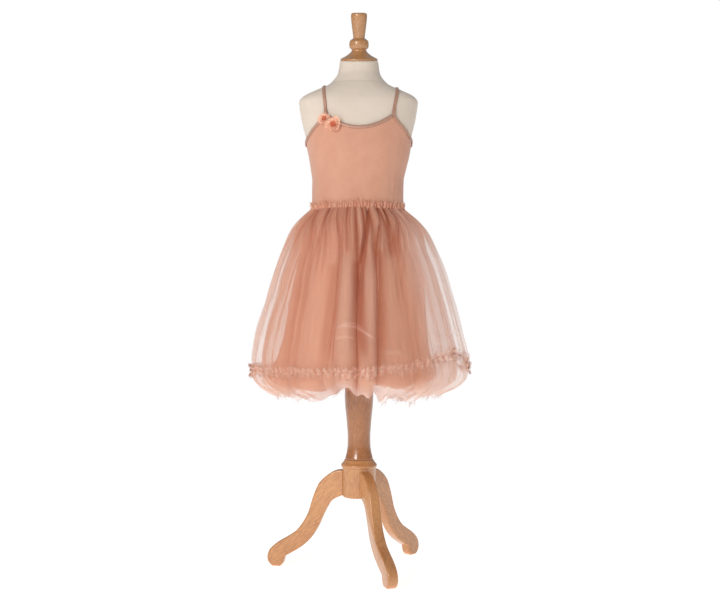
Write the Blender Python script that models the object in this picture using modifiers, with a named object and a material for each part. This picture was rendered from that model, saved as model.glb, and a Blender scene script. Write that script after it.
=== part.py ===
"""A child's sleeveless tulle dress on a limbless dress form with a turned wooden stand.

Each cut and sewn piece of the dress is a thin closed wall in its own object, and so is each
turned or sawn piece of the stand. The tables are in millimetres and the model is in metres,
+Z up, with its front facing -Y. A turn is an angle in degrees about the vertical axis, from
the front, and it grows towards +X.
"""

from collections import namedtuple
from math import copysign, cos, hypot, pi, radians, sin, tan

import bmesh
import bpy
import numpy as np
from mathutils import Matrix, Vector

MM = 0.001
FRONT, BACK = -1, 1

# Cloth and the room round it
SEAM_GAP = 0.3 * MM
FORM_GAP = 1.0 * MM
JERSEY = 1.6 * MM
BODICE_OUT = FORM_GAP + JERSEY
TULLE = 1.8 * MM
FRILL_CLOTH = 1.2 * MM
BINDING = 1.5 * MM
BINDING_WIDTH = 7 * MM
STRAP_GAP = 0.6 * MM
LAYER_GAP = 0.4 * MM
BINDING_OUT = BODICE_OUT + LAYER_GAP

# Heights that the dress is cut to
WAIST_SEAM = 687 * MM
BODICE_FOOT = 683 * MM
HEM_LIFT_FROM = 450 * MM
HEM = 330 * MM

# Neckline and shoulder straps
NECK_LOW = {FRONT: 834.6 * MM, BACK: 841 * MM}
STRAP_FOOT = 859.7 * MM
STRAP_FOOT_ACROSS = {-1: 61 * MM, 1: 64.4 * MM}
STRAP_TOP_ACROSS = {-1: 64.5 * MM, 1: 72.5 * MM}
STRAP_ARCH = (62 * MM, 60 * MM)
STRAP_SLOPE_ABOVE = 4 * MM
STRAP_SLOPE_HEIGHT = 12 * MM
NECK_BINDING_SHORT = {"top": 4.4 * MM, "foot": 1.6 * MM}

# How square a level section is: 2 is an ellipse
FORM_POWER = 2.2
SKIRT_POWER = 2.0
SKIRT_ROUND_BELOW = 600 * MM

# How finely curves and edges are followed
CURVE_STEPS = 16
SETTLING_STEPS = 6
LIFT_STEPS = 8
BINDING_STATIONS = 48
NECK_BINDING_COLUMNS = 21
NECKLINE_SHARES = (0, 0.27, 0.52, 0.77)
PANEL_SHARES = (0, 0.2, 0.4, 0.6, 0.8, 1)
STRAP_ANGLES = range(0, 181, 20)

Ring = namedtuple("Ring", "height half_width half_depth sway")
FORM_RINGS = [
    Ring(565, 90, 76, 0),
    Ring(575, 97, 83, 0),
    Ring(600, 98, 84, -1),
    Ring(640, 93, 80, -2),
    Ring(680, 86, 74, -2.5),
    Ring(706, 85, 72.5, -2.5),
    Ring(741, 85, 73, -2),
    Ring(764, 88.6, 75, -1),
    Ring(787, 93.4, 77, 0),
    Ring(810, 98, 78, -0.5),
    Ring(833, 102.7, 77, -1),
    Ring(856, 108.5, 74, -1),
    Ring(879, 112.5, 70, -1),
    Ring(893, 114, 66, -1),
    Ring(902, 108, 62, -1),
    Ring(914, 84.5, 56, -1),
    Ring(925, 59.5, 50, -0.5),
    Ring(937, 47, 44, -0.5),
    Ring(948, 40.5, 40, 0),
    Ring(960, 38.4, 38, 0),
    Ring(972.5, 36.5, 36.5, 0),
]
FORM_COLUMNS = 32
SHOULDER_FROM = 880 * MM

# The neck is cut on a slant, and the finial on it leans forward
NECK_LEAN = radians(12)
NECK_LEAN_FROM = 938 * MM
NECK_TOP = 972.5 * MM

Edge = namedtuple("Edge", "across height")
ARMHOLE = [
    Edge(72.5, 846.7),
    Edge(83.7, 835.7),
    Edge(92.0, 825.0),
    Edge(98.2, 815.5),
]
UNDERARM = 811 * MM

SkirtRing = namedtuple("SkirtRing", "height half_width half_depth gather fold sway")
SKIRT_RINGS = [
    SkirtRing(686.7, 95.6, 83.6, 4.5, 0.5, -2.5),
    SkirtRing(678, 106, 93.5, 5.5, 2, -2),
    SkirtRing(664, 121, 109, 5.5, 5, -1),
    SkirtRing(645, 135, 123, 4.5, 9, 0),
    SkirtRing(612, 150, 139, 3.0, 13, 1),
    SkirtRing(570, 166, 155, 1.5, 16, 2),
    SkirtRing(515, 182, 171, 0.8, 18, 2),
    SkirtRing(455, 199, 187, 0, 19, 1),
    SkirtRing(400, 209, 197, 0, 19, 2),
    SkirtRing(366, 208, 196, 0, 17, 2),
    SkirtRing(347, 194, 182, 0, 14, 1),
    SkirtRing(336, 173, 161, 0, 11, 0),
    SkirtRing(330, 156, 145, 0, 8, 0),
]

Fold = namedtuple("Fold", "width gathers valley lift")
SKIRT_FOLDS_FROM = -101
SKIRT_FOLDS = [
    Fold(22, 2, 0.5, 4),
    Fold(11, 1, 0.6, 5),
    Fold(22, 3, 0.8, 5),
    Fold(31, 4, 0.9, 3),
    Fold(13, 2, 0.8, 24),
    Fold(13, 2, 1.3, 10),
    Fold(17, 2, 0.9, 8),
    Fold(16, 2, 1.0, 1),
    Fold(16, 2, 0.9, 8),
    Fold(19, 2, 0.9, 7),
    Fold(22, 2, 0.6, 5),
    Fold(24, 3, 0.6, 10),
    Fold(19, 2, 0.9, 6),
    Fold(28, 4, 0.8, 12),
    Fold(17, 2, 1.0, 8),
    Fold(26, 3, 0.8, 12),
    Fold(21, 3, 0.9, 7),
    Fold(23, 3, 0.7, 10),
]
FOLD_ROUND = 0.65
SIDE_SEAM = 90

LINING_RINGS = [
    Ring(682.7, 88.3, 76.4, -2.5),
    Ring(668, 93, 81, -2),
    Ring(650, 101, 90, 0),
    Ring(620, 110, 100, 2),
    Ring(575, 121, 112, 5),
    Ring(520, 129, 121, 6),
    Ring(460, 135, 128, 5),
    Ring(400, 147, 139, 2),
    Ring(366, 162, 153, 0),
    Ring(350, 153, 144, 0),
    Ring(342, 134, 126, 0),
]
LINING_FOLD_DEPTH = 10 * MM
LINING_FOLDS_FROM = 670 * MM
LINING_FOLDS_FULL = 480 * MM

Lobe = namedtuple("Lobe", "width valley reach lift")
LINING_LOBES_FROM = -90
LINING_LOBES = [
    Lobe(40, 0.5, 1.08, 4),
    Lobe(42, 0.5, 1.05, 2),
    Lobe(13, 1.5, 0.97, 12),
    Lobe(53, 1.5, 0.94, 8),
    Lobe(32, 0.8, 0.93, 8),
    Lobe(44, 0.7, 0.96, 6),
    Lobe(46, 0.6, 1.0, 7),
    Lobe(44, 0.7, 1.0, 6),
    Lobe(46, 0.6, 1.05, 4),
]
LOBE_COLUMNS = 5

# The gathered strip above the waist seam, and the one round the hem
WAIST_FRILL_HEIGHT = 10.5 * MM
WAIST_FRILL_WAVE = 4.5 * MM
WAIST_FRILL_FLARE = 1.3
HEM_FRILL_HALF = 9.5 * MM
HEM_FRILL_STAND = 3.5 * MM
HEM_FRILL_WAVE = 4.5 * MM
HEM_FRILL_STITCHED = 0.4
Line = namedtuple("Line", "turn height")
HEM_FRILL_LINE = [
    Line(-90, 380),
    Line(-60, 384),
    Line(-25, 386),
    Line(0, 386),
    Line(15, 392),
    Line(30, 397),
    Line(43, 410),
    Line(57, 416),
    Line(75, 398),
    Line(90, 383),
    Line(130, 386),
    Line(180, 390),
    Line(225, 383),
    Line(270, 380),
]

# Two organza flowers at the foot of the -X strap
Flower = namedtuple("Flower", "across height radius spin")
FLOWERS = [
    Flower(-65.5, 853.5, 9, 20),
    Flower(-47.5, 841, 12.5, 0),
]
PETALS = 5
PETAL_COLUMNS = 4
PETAL_NOTCH = 0.3
FLOWER_OUT = BINDING_OUT + BINDING + LAYER_GAP
FlowerRing = namedtuple("FlowerRing", "share rise petal")
FLOWER_RINGS = [
    FlowerRing(0.25, 0.0, 0),
    FlowerRing(0.70, 0.5, 0.6),
    FlowerRing(1.00, 2.2, 1),
    FlowerRing(0.98, 3.4, 1),
    FlowerRing(0.62, 2.0, 0.6),
    FlowerRing(0.30, 1.8, 0),
    FlowerRing(0.22, 3.8, 0),
    FlowerRing(0.10, 4.6, 0),
]

# Turned wood, as radius and height down the outer side
Turned = namedtuple("Turned", "radius height")
FINIAL_PROFILE = [
    Turned(0, 1063),
    Turned(12, 1063),
    Turned(15, 1061),
    Turned(15.4, 1057.5),
    Turned(14.2, 1043),
    Turned(12.4, 1028.5),
    Turned(11, 1016),
    Turned(14, 1014),
    Turned(17.6, 1010.5),
    Turned(18.6, 1004.2),
    Turned(17.6, 997.5),
    Turned(14, 994),
    Turned(14.2, 992.6),
    Turned(18.4, 987.6),
    Turned(26.4, 982),
    Turned(34.4, 977.8),
    Turned(35.7, 976.6),
    Turned(35.7, 973.8),
    Turned(35, 973),
    Turned(0, 973),
]
POST_PROFILE = [
    Turned(0, 564.6),
    Turned(24, 564.6),
    Turned(24, 552),
    Turned(20, 548),
    Turned(21, 480),
    Turned(24, 380),
    Turned(27.6, 330),
    Turned(27, 314),
    Turned(25.2, 296),
    Turned(23, 272),
    Turned(21.8, 251),
    Turned(22.2, 236),
    Turned(24, 222.5),
    Turned(26, 214),
    Turned(26.6, 211.5),
    Turned(26.2, 209.5),
    Turned(0, 209.5),
]
HUB_PROFILE = [
    Turned(0, 209.2),
    Turned(27.4, 209.2),
    Turned(28.4, 207.6),
    Turned(31.2, 203.2),
    Turned(34.2, 199.6),
    Turned(34.6, 198),
    Turned(34.6, 196),
    Turned(33.2, 194.2),
    Turned(31.9, 193.2),
    Turned(31.9, 139.5),
    Turned(30.4, 137.5),
    Turned(0, 137.5),
]
HUB_RADIUS = 31.9 * MM
HUB_SEAT_HEIGHT = 165 * MM
HUB_SEAT_LENGTH = 120 * MM
HUB_SEAT_SIDES = 48
TURNED_STEPS = 20
SHARP_FROM = radians(50)

# Three sawn legs: their outline in reach from the axis and height, run by run
LEG_TURNS = {"leg_left": 171, "leg_front": 290, "leg_right": 50}
LEG_THICKNESS = 20 * MM
LEG_ROUNDING = 8 * MM
LEG_TOP_EDGE = [
    (24, 190.3), (46.1, 186.5), (62.6, 176.7), (76.3, 163.1), (84.5, 146.7), (91.4, 127.4),
    (98.2, 105.6), (109.4, 85.1), (123.2, 68.5), (139.7, 57.2), (159, 45.7), (174.2, 31.9),
    (179, 16.8), (175.5, 6.1), (168.7, 0),
]
LEG_HEEL = [(153.5, 0), (147.2, 7), (143.8, 19.5)]
LEG_UNDER_EDGE = [
    (143.8, 19.5), (128.7, 27.9), (109.4, 40.3), (92.8, 55.9), (79, 76.4), (69.5, 97.2),
    (60, 116.4), (48.9, 131.4), (24, 143),
]
LEG_RUN_POINTS = {"top": 17, "heel": 4, "under": 11}


def clear_scene():
    """Take every object out of the scene."""
    for item in list(bpy.data.objects):
        bpy.data.objects.remove(item, do_unlink=True)


def collection(name):
    """A collection of the scene, made at its first use."""
    if name not in bpy.data.collections:
        bpy.context.scene.collection.children.link(bpy.data.collections.new(name))
    return bpy.data.collections[name]


def linear(level):
    """One colour channel from its display value, 0 to 255."""
    share = level / 255
    return share / 12.92 if share <= 0.04045 else ((share + 0.055) / 1.055) ** 2.4


def finish(name, colour, roughness, metallic=0.0):
    """A plain material of one display colour."""
    made = bpy.data.materials.new(name)
    made.use_nodes = True
    shader = made.node_tree.nodes["Principled BSDF"]
    shader.inputs["Base Color"].default_value = [linear(level) for level in colour] + [1]
    shader.inputs["Roughness"].default_value = roughness
    shader.inputs["Metallic"].default_value = metallic
    made.diffuse_color = shader.inputs["Base Color"].default_value
    return made


def eased(positions, values, at):
    """The value at a position on the monotone cubic curve through some points."""
    gaps = np.diff(positions)
    rates = np.diff(values) / gaps
    slopes = np.concatenate((rates[:1], np.zeros(len(rates) - 1), rates[-1:]))
    for inner, (before, after) in enumerate(zip(rates, rates[1:]), start=1):
        if before * after > 0:
            slopes[inner] = 2 * before * after / (before + after)
    at = min(max(at, positions[0]), positions[-1])
    low = min(int(np.searchsorted(positions, at, side="right")) - 1, len(gaps) - 1)
    gap = gaps[low]
    share = (at - positions[low]) / gap
    ease = share * share * (3 - 2 * share)
    start = share * (1 - share) ** 2 * slopes[low]
    end = share * share * (share - 1) * slopes[low + 1]
    return float(values[low] * (1 - ease) + values[low + 1] * ease + gap * (start + end))


def step(low, high, value):
    """0 up to low and 1 from high, with a smooth rise between."""
    share = min(max((value - low) / (high - low), 0), 1)
    return share * share * (3 - 2 * share)


class Body:
    """A body given by rings at some heights, with every measure eased between them."""

    def __init__(self, rings):
        rows = sorted(rings)
        self.heights = np.array([row.height for row in rows]) * MM
        self.measures = {
            name: np.array([getattr(row, name) for row in rows]) * MM for name in rows[0]._fields[1:]
        }

    def at(self, name, height):
        return eased(self.heights, self.measures[name], height)


FORM = Body(FORM_RINGS)
SKIRT = Body(SKIRT_RINGS)
LINING = Body(LINING_RINGS)


def ring_point(half_width, half_depth, sway, turn, height, power=FORM_POWER):
    """A point of a rounded ring at a turn."""
    side, ahead = sin(radians(turn)), cos(radians(turn))
    across = half_width * copysign(abs(side) ** (2 / power), side)
    along = half_depth * copysign(abs(ahead) ** (2 / power), ahead)
    return Vector((sway + across, -along, height))


def form_point(turn, height, out=0.0):
    """A point of the dress form's skin at a turn and a height, moved out."""
    half_width = FORM.at("half_width", height) + out
    half_depth = FORM.at("half_depth", height) + out
    return ring_point(half_width, half_depth, FORM.at("sway", height), turn, height)


def form_turn(across, height, out):
    """The turn at which the form's skin, moved out, lies this far across, from 0 to 90."""
    half_width = FORM.at("half_width", height) + out
    share = min(abs(across - FORM.at("sway", height)) / half_width, 1)
    return float(np.degrees(np.arcsin(share ** (FORM_POWER / 2))))


def form_level(spot):
    """How far a point lies past the form's skin, as a share of its ring: 0 on the skin."""
    across = abs(spot.x - FORM.at("sway", spot.z)) / FORM.at("half_width", spot.z)
    along = abs(spot.y) / FORM.at("half_depth", spot.z)
    return (across ** FORM_POWER + along ** FORM_POWER) ** (1 / FORM_POWER) - 1


def form_rise(spot):
    """The direction and rate in which form_level grows at a point."""
    probe = 0.05 * MM
    pairs = [(spot + axis * probe, spot - axis * probe) for axis in Matrix.Identity(3)]
    return Vector([(form_level(far) - form_level(near)) / (2 * probe) for far, near in pairs])


def on_form(spot, out=0.0):
    """The form's skin by a point, moved out along the skin's normal."""
    spot = Vector(spot)
    for _ in range(SETTLING_STEPS):
        rise = form_rise(spot)
        spot -= rise * (form_level(spot) / rise.length_squared)
    return spot + form_rise(spot).normalized() * out


def skin_point(across, height, facing):
    """The point of the form's skin at a place across and a height, on the front or the back."""
    share = min(abs(across - FORM.at("sway", height)) / FORM.at("half_width", height), 1)
    along = FORM.at("half_depth", height) * (1 - share ** FORM_POWER) ** (1 / FORM_POWER)
    return Vector((across, facing * along, height))


def curve_through(points, count, looped=False):
    """Evenly spaced points along a smooth curve through some points."""
    knots = [Vector(point) for point in points]
    if looped:
        knots = [knots[-1]] + knots + knots[:2]
    else:
        knots = [knots[0] * 2 - knots[1]] + knots + [knots[-1] * 2 - knots[-2]]
    fine = []
    for before, start, end, after in zip(knots, knots[1:], knots[2:], knots[3:]):
        for share in np.arange(0, 1, 1 / CURVE_STEPS):
            bend = (start * 2 + (end - before) * share
                    + (before * 2 - start * 5 + end * 4 - after) * share ** 2
                    + (start * 3 - before - end * 3 + after) * share ** 3)
            fine.append(bend / 2)
    fine.append(knots[-2])
    lengths = np.cumsum([0] + [(far - near).length for near, far in zip(fine, fine[1:])])
    marks = np.linspace(0, lengths[-1], count + 1 if looped else count)
    axes = [np.interp(marks, lengths, [point[axis] for point in fine]) for axis in range(len(fine[0]))]
    spots = [Vector(spot) for spot in zip(*axes)]
    return spots[:-1] if looped else spots


def place(name, mesh, material):
    """An object of the dress and stand, with its material."""
    mesh.materials.append(material)
    mesh.shade_smooth()
    mesh.set_sharp_from_angle(angle=SHARP_FROM)
    made = bpy.data.objects.new(name, mesh)
    collection("tulle_dress").objects.link(made)
    return made


def faces_mesh(name, points, faces):
    """A mesh of some faces, all of them turned outwards."""
    mesh = bpy.data.meshes.new(name)
    mesh.from_pydata([tuple(point) for point in points], [], faces)
    shape = bmesh.new()
    shape.from_mesh(mesh)
    bmesh.ops.recalc_face_normals(shape, faces=shape.faces)
    shape.to_mesh(mesh)
    shape.free()
    return mesh


def halves(first, second, third, fourth):
    """A quad as two triangles, cut the same way on both sides of a wall."""
    return [(first, second, third), (first, third, fourth)]


def wall(name, outer, inner, material, looped=False):
    """Cloth between two grids of points, both as columns of rows; looped joins its sides."""
    columns, rows = len(outer), len(outer[0])
    points = [point for grid in (outer, inner) for column in grid for point in column]

    def spot(side, column, row):
        return (side * columns + column % columns) * rows + row

    faces = []
    for column in range(columns if looped else columns - 1):
        beside = column + 1
        for row in range(rows - 1):
            for side in (0, 1):
                faces += halves(spot(side, column, row), spot(side, beside, row),
                                spot(side, beside, row + 1), spot(side, column, row + 1))
        for row in (0, rows - 1):
            faces += halves(spot(0, column, row), spot(0, beside, row),
                            spot(1, beside, row), spot(1, column, row))
    if not looped:
        for column in (0, columns - 1):
            for row in range(rows - 1):
                faces += halves(spot(0, column, row), spot(0, column, row + 1),
                                spot(1, column, row + 1), spot(1, column, row))
    return place(name, faces_mesh(name, points, faces), material)


def stack(name, rings, material):
    """A solid through closed rings of points, with a flat face on the first and the last."""
    count = len(rings[0])
    points = [point for ring in rings for point in ring]
    faces = [list(range(count)), list(range(len(points) - count, len(points)))]
    for level in range(len(rings) - 1):
        for column in range(count):
            beside = (column + 1) % count
            low, high = level * count, (level + 1) * count
            faces.append((low + column, low + beside, high + beside, high + column))
    return place(name, faces_mesh(name, points, faces), material)


def turned(name, profile, material):
    """A turned solid from its profile, listed from the top down the outer side."""
    mesh = bpy.data.meshes.new(name)
    points = [(row.radius * MM, 0, row.height * MM) for row in profile]
    mesh.from_pydata(points, [(low, low + 1) for low in range(len(points) - 1)], [])
    made = bpy.data.objects.new(name, mesh)
    collection("tulle_dress").objects.link(made)
    mesh.materials.append(material)
    screw = made.modifiers.new("Turning", "SCREW")
    screw.steps = TURNED_STEPS
    screw.render_steps = TURNED_STEPS
    screw.use_merge_vertices = True
    screw.merge_threshold = 0.01 * MM
    return made


def build_finial(wood):
    """The finial, turned upright and then leaned forward with the neck."""
    finial = turned("finial", FINIAL_PROFILE, wood)
    lean = Matrix.Rotation(NECK_LEAN, 3, "X")
    pivot = Vector((0, 0, NECK_TOP))
    finial.rotation_euler.x = NECK_LEAN
    finial.location = pivot - lean @ pivot


def leaned(spot):
    """A point of the neck, lowered at the front and raised at the back towards its top."""
    slant = tan(NECK_LEAN) * step(NECK_LEAN_FROM, NECK_TOP, spot.z)
    return Vector((spot.x, spot.y, spot.z + spot.y * slant))


def build_form(linen):
    """The stuffed form, with closer rings over its shoulders and the slanted neck."""
    heights = [FORM.heights[0]]
    for low, high in zip(FORM.heights, FORM.heights[1:]):
        if high > SHOULDER_FROM:
            heights.append((low + high) / 2)
        heights.append(high)
    turns = np.arange(FORM_COLUMNS) * 360 / FORM_COLUMNS
    rings = [[leaned(form_point(turn, height)) for turn in turns] for height in heights]
    stack("form_body", rings, linen)


def neckline(across, side, facing):
    """The height of the neckline at a place across, on a front or back panel."""
    rise = STRAP_FOOT - NECK_LOW[facing]
    return NECK_LOW[facing] + rise * (across / STRAP_FOOT_ACROSS[side]) ** 2


def half_edge(side, facing):
    """The cut edge of a bodice panel from its middle to the underarm, as turns and heights."""
    foot = STRAP_FOOT_ACROSS[side]
    line = [(share * foot, neckline(share * foot, side, facing)) for share in NECKLINE_SHARES]
    arm = [(foot, STRAP_FOOT)] + [(edge.across * MM, edge.height * MM) for edge in ARMHOLE]
    for (across, height), (across_next, height_next) in zip(arm, arm[1:]):
        line += [(across, height), ((across + across_next) / 2, (height + height_next) / 2)]
    line.append(arm[-1])
    edge = [(form_turn(side * across, height, BODICE_OUT), height) for across, height in line]
    edge[0] = (0, edge[0][1])
    last_turn, last_height = edge[-1]
    edge.append(((last_turn + SIDE_SEAM) / 2, (last_height + UNDERARM) / 2))
    return edge + [(SIDE_SEAM, UNDERARM)]


def build_bodice(jersey):
    """Front and back panels, from the waist up to the neckline and the armholes."""
    seam_turn = float(np.degrees(SEAM_GAP / 2 / FORM.at("half_width", UNDERARM)))
    for name, facing in (("bodice_front", FRONT), ("bodice_back", BACK)):
        left = [(-turn, height) for turn, height in reversed(half_edge(-1, facing))]
        edge = left[:-1] + half_edge(1, facing)
        outer, inner = [], []
        for turn, top in edge:
            turn = copysign(min(abs(turn), SIDE_SEAM - seam_turn), turn)
            if facing == BACK:
                turn = 180 - turn
            heights = [BODICE_FOOT + (top - BODICE_FOOT) * share for share in PANEL_SHARES]
            outer.append([form_point(turn, height, BODICE_OUT) for height in heights])
            inner.append([form_point(turn, height, FORM_GAP) for height in heights])
        wall(name, outer, inner, jersey)


def armhole_route(side):
    """Points round an armhole and over the shoulder, as a closed loop on the form's skin."""
    rows = [(edge.across * MM, edge.height * MM) for edge in ARMHOLE]
    foot, top = STRAP_FOOT_ACROSS[side], STRAP_TOP_ACROSS[side]
    deep, tall = STRAP_ARCH
    route = [skin_point(side * FORM.at("half_width", UNDERARM), UNDERARM, FRONT)]
    route += [skin_point(side * across, height, FRONT) for across, height in reversed(rows)]
    for angle in STRAP_ANGLES:
        swing = sin(radians(angle))
        across = side * (foot + (top - foot) * swing)
        route.append(on_form((across, -deep * cos(radians(angle)), STRAP_FOOT + tall * swing)))
    route += [skin_point(side * across, height, BACK) for across, height in rows]
    return route


def strap_out(height):
    """How far out of the form a binding lies: over the bodice, or down on the bare form."""
    start = STRAP_FOOT + STRAP_SLOPE_ABOVE
    over_form = step(start, start + STRAP_SLOPE_HEIGHT, height)
    return BINDING_OUT * (1 - over_form) + STRAP_GAP * over_form


def build_armholes(satin):
    """Each armhole's binding, which runs on over the shoulder as the strap."""
    for name, side in (("armhole_strap_left", -1), ("armhole_strap_right", 1)):
        spots = curve_through(armhole_route(side), BINDING_STATIONS, looped=True)
        outer, inner = [], []
        for index, spot in enumerate(spots):
            ahead = spots[(index + 1) % len(spots)] - spots[index - 1]
            cross = ahead.cross(form_rise(on_form(spot))).normalized() * BINDING_WIDTH / 2
            edges = [spot + cross, spot - cross]
            inner.append([on_form(edge, strap_out(spot.z)) for edge in edges])
            outer.append([on_form(edge, strap_out(spot.z) + BINDING) for edge in edges])
        wall(name, outer, inner, satin, looped=True)


def build_necklines(satin):
    """The bindings of the front and back necklines, which end beside the straps."""
    for name, facing in (("neck_binding_front", FRONT), ("neck_binding_back", BACK)):
        outer, inner = [], []
        for share in np.linspace(-1, 1, NECK_BINDING_COLUMNS):
            side = 1 if share > 0 else -1
            foot = STRAP_FOOT_ACROSS[side]
            reach = {end: share * (foot - short) for end, short in NECK_BINDING_SHORT.items()}
            slope = 2 * (STRAP_FOOT - NECK_LOW[facing]) / foot * abs(share)
            half = BINDING_WIDTH / 2 * hypot(1, slope)
            middle = neckline((reach["top"] + reach["foot"]) / 2, side, facing)
            edges = [(reach["foot"], middle - half), (reach["top"], middle + half)]
            spots = [skin_point(across, height, facing) for across, height in edges]
            inner.append([on_form(spot, BINDING_OUT) for spot in spots])
            outer.append([on_form(spot, BINDING_OUT + BINDING) for spot in spots])
        wall(name, outer, inner, satin)


Column = namedtuple("Column", "turn valley ridge lift reach")


def fold_columns(folds, start, per_fold):
    """The columns of cloth round a skirt, with how deep in a valley and how lifted each is."""
    starts = np.cumsum([start] + [fold.width for fold in folds])
    middles = [(low + high) / 2 for low, high in zip(starts, starts[1:])]
    around = np.array([middles[-1] - 360] + middles + [middles[0] + 360])
    columns = []
    for index, fold in enumerate(folds):
        beyond = folds[(index + 1) % len(folds)]
        count = per_fold(fold)
        for number in range(count):
            share = number / count
            turn = starts[index] + fold.width * share
            valley = 1 - abs(sin(pi * share)) ** FOLD_ROUND
            depth = fold.valley + (beyond.valley - fold.valley) * step(0, 1, share)
            near = min(int(np.searchsorted(around, turn)), len(around) - 1)
            blend = step(around[near - 1], around[near], turn)
            before, after = folds[(near - 2) % len(folds)], folds[(near - 1) % len(folds)]
            lift = before.lift + (after.lift - before.lift) * blend
            reach = getattr(fold, "reach", 1)
            if hasattr(fold, "reach"):
                reach = before.reach + (after.reach - before.reach) * blend
            columns.append(Column(turn, valley * depth, number % 2, lift * MM, reach))
    return columns


SKIRT_COLUMNS = fold_columns(SKIRT_FOLDS, SKIRT_FOLDS_FROM, lambda fold: 2 * fold.gathers)
LINING_COLUMNS = fold_columns(LINING_LOBES, LINING_LOBES_FROM, lambda fold: LOBE_COLUMNS)


def lift_share(height):
    """How much of the hem's lift a height takes: all of it at the hem, none above."""
    return 1 - step(HEM, HEM_LIFT_FROM, height)


def unlifted(height, lift):
    """The height before the hem was lifted."""
    before = height
    for _ in range(LIFT_STEPS):
        before = height - lift * lift_share(before)
    return before


def skirt_power(height):
    """How square a skirt's section is: as the form at the waist, and elliptic further down."""
    return SKIRT_POWER + (FORM_POWER - SKIRT_POWER) * step(SKIRT_ROUND_BELOW, WAIST_SEAM, height)


def skirt_point(column, height, out=0.0):
    """A point of the outer skirt's face on a column, at a height before the hem's lift."""
    fold = SKIRT.at("fold", height) * column.valley
    gather = SKIRT.at("gather", height) * (1 - column.ridge)
    half_width = SKIRT.at("half_width", height) - fold - gather + out
    half_depth = SKIRT.at("half_depth", height) - fold - gather + out
    lifted = height + column.lift * lift_share(height)
    return ring_point(half_width, half_depth, SKIRT.at("sway", height), column.turn, lifted,
                      skirt_power(height))


def lining_point(column, height):
    """A point of the lining's face on a column, at a height before the hem's lift."""
    settled = 1 - step(LINING_FOLDS_FULL, LINING_FOLDS_FROM, height)
    reach = 1 + (column.reach - 1) * settled
    fold = LINING_FOLD_DEPTH * column.valley * settled
    half_width = LINING.at("half_width", height) * reach - fold
    half_depth = LINING.at("half_depth", height) * reach - fold
    skirt = min(SKIRT_COLUMNS, key=lambda other: abs((other.turn - column.turn + 180) % 360 - 180))
    lifted = height + (column.lift + skirt.lift) * lift_share(height)
    return ring_point(half_width, half_depth, LINING.at("sway", height), column.turn, lifted,
                      skirt_power(height))


def thickened(body, heights, column_points, thickness):
    """The inner face of a wall: each column moved in across the body's mean profile."""
    profile = [(body.at("half_width", height), height) for height in heights]
    inner = []
    for points in column_points:
        moved = []
        for row, point in enumerate(points):
            low, high = profile[max(row - 1, 0)], profile[min(row + 1, len(profile) - 1)]
            reach, fall = low[0] - high[0], low[1] - high[1]
            length = hypot(reach, fall)
            inward = Vector((-point.x, -point.y, 0)).normalized() * (fall / length)
            moved.append(point + (inward + Vector((0, 0, reach / length))) * thickness)
        inner.append(moved)
    return inner


def panel_pair(stem, columns, body, point_on, thickness, material):
    """A skirt layer as a front and a back panel, parted by a seam's gap at each side."""
    heights = sorted(body.heights, reverse=True)
    low = min(range(len(columns)), key=lambda index: abs(columns[index].turn + SIDE_SEAM))
    high = min(range(len(columns)), key=lambda index: abs(columns[index].turn - SIDE_SEAM))
    back = columns[high:] + [column._replace(turn=column.turn + 360) for column in columns[:low + 1]]
    for name, part in ((stem + "_front", columns[low:high + 1]), (stem + "_back", back)):
        outer = [[point_on(column, height) for height in heights] for column in part]
        inner = thickened(body, heights, outer, thickness)
        inwards = SEAM_GAP / 2 if part is back else -SEAM_GAP / 2
        for grid in (outer, inner):
            for edge in (grid[0], grid[-1]):
                for point in edge:
                    point.y += inwards
        wall(name, outer, inner, material)


def build_waist_frill(tulle):
    """The raw gathered heading that stands above the waist seam."""
    outer, inner = [], []
    top = SKIRT_RINGS[0].height * MM
    for column in SKIRT_COLUMNS:
        stand = LAYER_GAP + WAIST_FRILL_WAVE * column.ridge
        foot = skirt_point(column, top)
        middle = form_point(column.turn, WAIST_SEAM + WAIST_FRILL_HEIGHT / 2, BODICE_OUT + stand)
        rim = form_point(column.turn, WAIST_SEAM + WAIST_FRILL_HEIGHT,
                         BODICE_OUT + stand * WAIST_FRILL_FLARE)
        foot.z = WAIST_SEAM
        back = [foot + inward(foot) * TULLE, middle, rim]
        inner.append(back)
        outer.append([foot] + [point - inward(point) * FRILL_CLOTH for point in (middle, rim)])
    wall("waist_frill", outer, inner, tulle, looped=True)


def inward(point):
    """The level direction from a point to the vertical axis."""
    return Vector((-point.x, -point.y, 0)).normalized()


def build_hem_frill(tulle):
    """The gathered strip round the hem, stitched along its middle line."""
    turns = np.array([line.turn for line in HEM_FRILL_LINE], float)
    levels = np.array([line.height for line in HEM_FRILL_LINE]) * MM
    outer, inner = [], []
    for column in SKIRT_COLUMNS:
        turn = (column.turn + SIDE_SEAM) % 360 - SIDE_SEAM
        middle = eased(turns, levels, turn)
        wave = HEM_FRILL_WAVE * column.ridge
        edge = HEM_FRILL_STAND + wave
        rows = ((HEM_FRILL_HALF, edge), (0, wave * HEM_FRILL_STITCHED), (-HEM_FRILL_HALF, edge))
        back = []
        for rise, stand in rows:
            level = unlifted(middle + rise, column.lift)
            back.append(skirt_point(column, level, LAYER_GAP + stand))
        inner.append(back)
        outer.append([point - inward(point) * FRILL_CLOTH for point in back])
    wall("hem_frill", outer, inner, tulle, looped=True)


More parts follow.
